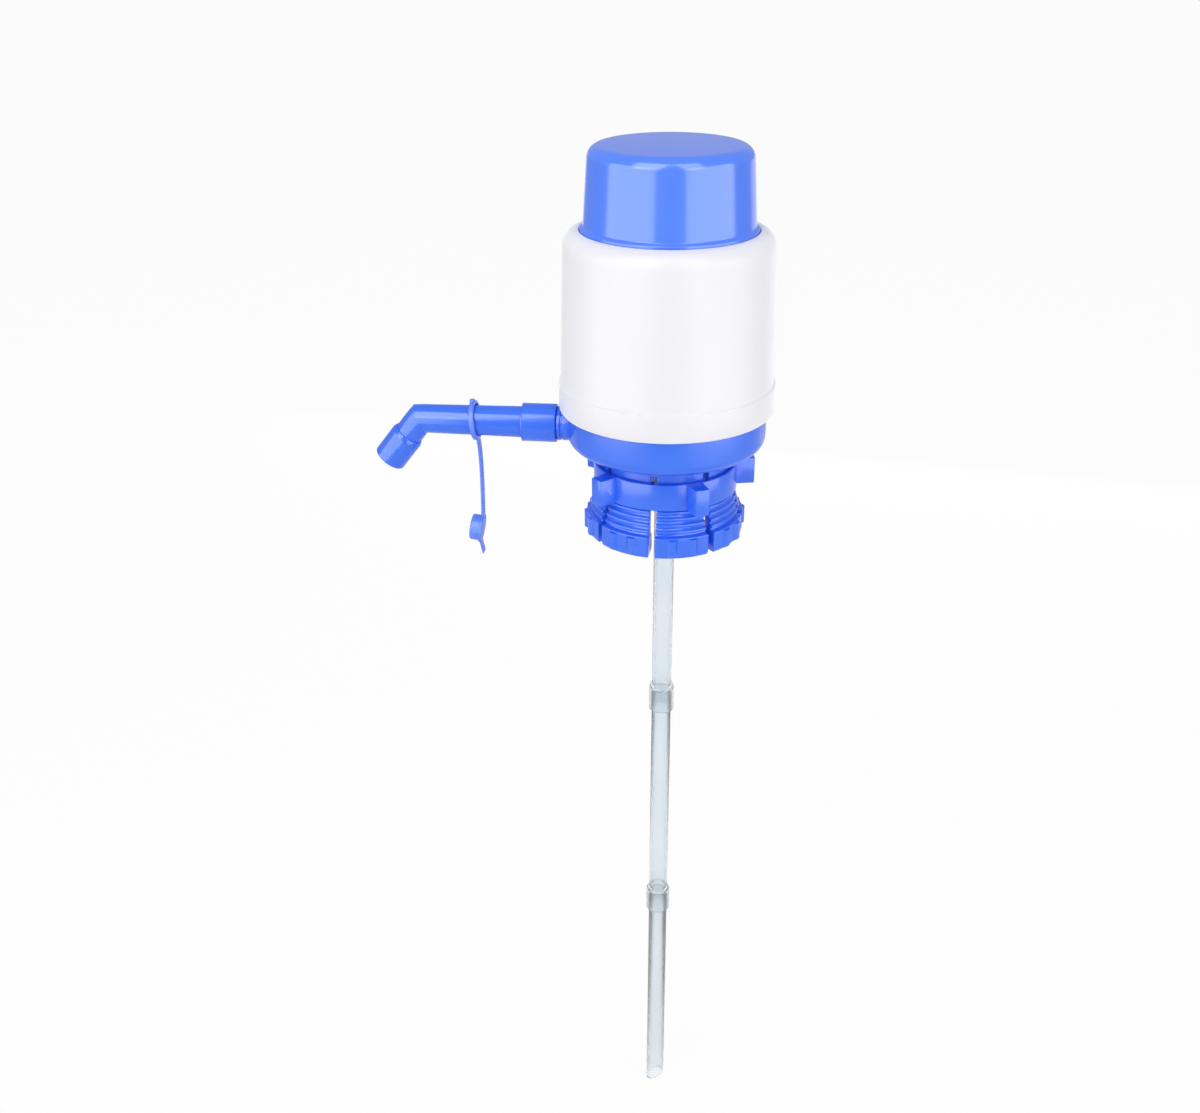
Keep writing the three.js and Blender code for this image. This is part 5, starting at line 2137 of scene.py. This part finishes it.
@dataclass
class Studio:
    """Pale floor, soft lamps and the camera."""

    floor_z: float = -0.4312
    eye: Triple = (0.0398, -0.63, 0.2514)
    pitch: float = 63.65
    yaw: float = 6.515
    lens: float = 40.716
    shift: tuple[float, float] = (-0.0018, 0.0)
    roll: float = -0.29
    sensor: float = 36.0
    ambient: float = 0.46
    glossy: float = 0.1
    aim: Triple = (0.0, 0.0, 0.05)
    fill_back: float = 1.03
    floor_tone: float = 0.9
    floor_roughness: float = 0.9
    floor_glow: float = 0.94
    floor_reach: float = 40.0

    def camera(self) -> None:
        """Stands the camera where the photograph was taken from."""
        data = bpy.data.cameras.new("camera")
        data.lens = self.lens
        data.sensor_width = self.sensor
        data.shift_x, data.shift_y = self.shift
        data.clip_start, data.clip_end = 0.01, 100.0
        eye = bpy.data.objects.new("camera", data)
        eye.location = self.eye
        turn = Matrix.Rotation(math.radians(self.yaw), 3, "Z")
        turn = turn @ Matrix.Rotation(math.radians(self.pitch), 3, "X")
        eye.rotation_euler = (turn @ Matrix.Rotation(math.radians(self.roll), 3, "Z")).to_euler()
        bpy.context.scene.collection.objects.link(eye)
        bpy.context.scene.camera = eye

    def lamp(self, name: str, place: Triple, size: tuple[float, float], fill: float,
             shine: float) -> None:
        """Adds a soft rectangular lamp, with its light and its reflections set apart.

        Args:
            name: Name of the lamp.
            place: Where it stands.
            size: Its width and height.
            fill: Power in watts of the light that it gives.
            shine: Power in watts that glossy surfaces show.
        """
        parts = ((Light.FILL, fill, self.fill_back), (Light.SHINE, shine, 1.0))
        for part, power, away in parts:
            if not power:
                continue
            data = bpy.data.lights.new(f"{name}_{part.value}", "AREA")
            data.shape = "RECTANGLE"
            data.size, data.size_y = size
            data.energy = power
            lamp = bpy.data.objects.new(data.name, data)
            lamp.location = Vector(place) * away
            turn = (Vector(self.aim) - Vector(place)).to_track_quat("-Z", "Y")
            lamp.rotation_euler = turn.to_euler()
            lamp.visible_camera = lamp.visible_transmission = False
            lamp.visible_glossy = part is Light.SHINE
            lamp.visible_diffuse = part is Light.FILL
            bpy.context.scene.collection.objects.link(lamp)

    def world(self) -> None:
        """Lights the scene from all round, and shows white behind it."""
        world = bpy.data.worlds.new("studio")
        world.use_nodes = True
        bpy.context.scene.world = world
        tree = world.node_tree
        shown = tree.nodes["Background"]
        path = tree.nodes.new("ShaderNodeLightPath")
        seen = tree.nodes.new("ShaderNodeMath")
        seen.operation = "MAXIMUM"
        tree.links.new(path.outputs["Is Camera Ray"], seen.inputs[0])
        tree.links.new(path.outputs["Is Transmission Ray"], seen.inputs[1])
        glossy = tree.nodes.new("ShaderNodeMath")
        glossy.operation = "MULTIPLY_ADD"
        glossy.inputs[1].default_value = self.glossy
        tree.links.new(path.outputs["Is Glossy Ray"], glossy.inputs[0])
        strength = tree.nodes.new("ShaderNodeMapRange")
        strength.inputs["To Min"].default_value = self.ambient
        strength.inputs["To Max"].default_value = 1.0
        tree.links.new(seen.outputs[0], glossy.inputs[2])
        tree.links.new(glossy.outputs[0], strength.inputs["Value"])
        tree.links.new(strength.outputs["Result"], shown.inputs["Strength"])
        shown.inputs["Color"].default_value = (1, 1, 1, 1)

    def floor(self) -> None:
        """Lays the pale floor that keeps the pump's shadow."""
        made = Shader("pale_floor")
        tone = self.floor_tone
        made.shader.inputs["Base Color"].default_value = (tone, tone, tone, 1)
        made.shader.inputs["Roughness"].default_value = self.floor_roughness
        made.shader.inputs["Specular IOR Level"].default_value = 0.0
        glow = made.node("ShaderNodeEmission", Strength=1.0)
        path = made.node("ShaderNodeLightPath")
        seen = made.node("ShaderNodeMath", operation="MAXIMUM")
        share = made.node("ShaderNodeMath", operation="MULTIPLY")
        share.inputs[1].default_value = self.floor_glow
        mix = made.node("ShaderNodeMixShader")
        made.link(path, "Is Camera Ray", seen, "Value")
        made.tree.links.new(path.outputs["Is Transmission Ray"], seen.inputs[1])
        made.link(seen, "Value", share, "Value")
        made.link(share, "Value", mix, "Fac")
        made.tree.links.new(made.shader.outputs["BSDF"], mix.inputs[1])
        made.tree.links.new(glow.outputs["Emission"], mix.inputs[2])
        made.link(mix, "Shader", made.output, "Surface")
        reach = self.floor_reach
        mesh = bpy.data.meshes.new("floor")
        corners = [(-reach, -reach), (reach, -reach), (reach, reach), (-reach, reach)]
        mesh.from_pydata([(x, y, self.floor_z) for x, y in corners], [], [(0, 1, 2, 3)])
        mesh.materials.append(made.material)
        linked("floor", mesh)

    def build(self) -> None:
        """Builds the floor, lamps, world and camera."""
        self.floor()
        self.world()
        self.lamp("left_softbox", (-0.8, -0.66, 0.12), (1.45, 1.1), fill=4.0, shine=16.0)
        self.lamp("right_softbox", (0.9, -0.52, 0.12), (1.5, 1.1), fill=6.3, shine=16.6)
        self.lamp("upper_left", (-0.42, -0.75, 0.85), (0.75, 1.0), fill=4.7, shine=10.0)
        self.lamp("upper_right", (0.5, -0.7, 0.85), (0.55, 1.0), fill=0.0, shine=6.0)
        self.lamp("overhead", (0.0, 0.1, 1.25), (0.8, 0.8), fill=4.2, shine=0.0)
        self.lamp("back_softbox", (0.15, 1.1, -0.15), (1.6, 0.5), fill=3.4, shine=1.8)
        self.camera()
        bpy.context.scene.view_settings.view_transform = "Standard"


def main() -> None:
    """Builds the pump's pieces in order, then the studio."""
    logging.basicConfig(level=logging.INFO, format="%(name)s: %(message)s")
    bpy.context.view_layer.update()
    shop = Workshop()
    assemblies = [
        Cover(),
        PushCap(),
        PumpBase(),
        NeckCollet(),
        ClampRing(),
        Spout(),
        SpoutPlug(),
        DipTube(),
        Bellows(),
        Valve("intake_valve", Body.INTAKE, low=130.0, high=132.0),
        Valve("outlet_valve", Body.OUTLET, low=24.0, high=26.4),
        Seals(),
        Screws("ring_screw", Body.BASE, count=PumpBase.bosses, circle=PumpBase.boss_circle,
               turn=PumpBase.boss_turn, seat_z=31.1, length=20.0),
        Screws("collet_screw", Body.BASE, count=PumpBase.collet_screws,
               circle=PumpBase.collet_circle, turn=PumpBase.collet_turn, seat_z=6.3, length=9.0),
        Screws("cap_screw", Body.CAP, count=PushCap.bosses, circle=PushCap.boss_circle,
               turn=0.0, seat_z=129.7, length=9.0, points_down=False),
    ]
    for assembly in assemblies:
        assembly.build(shop)
    for node in ("cap_plate", "valve_plate", "bellows_ring"):
        shop.carry(node, Slot.WHITE_INNER)
    Studio().build()


if __name__ == "__main__":
    main()
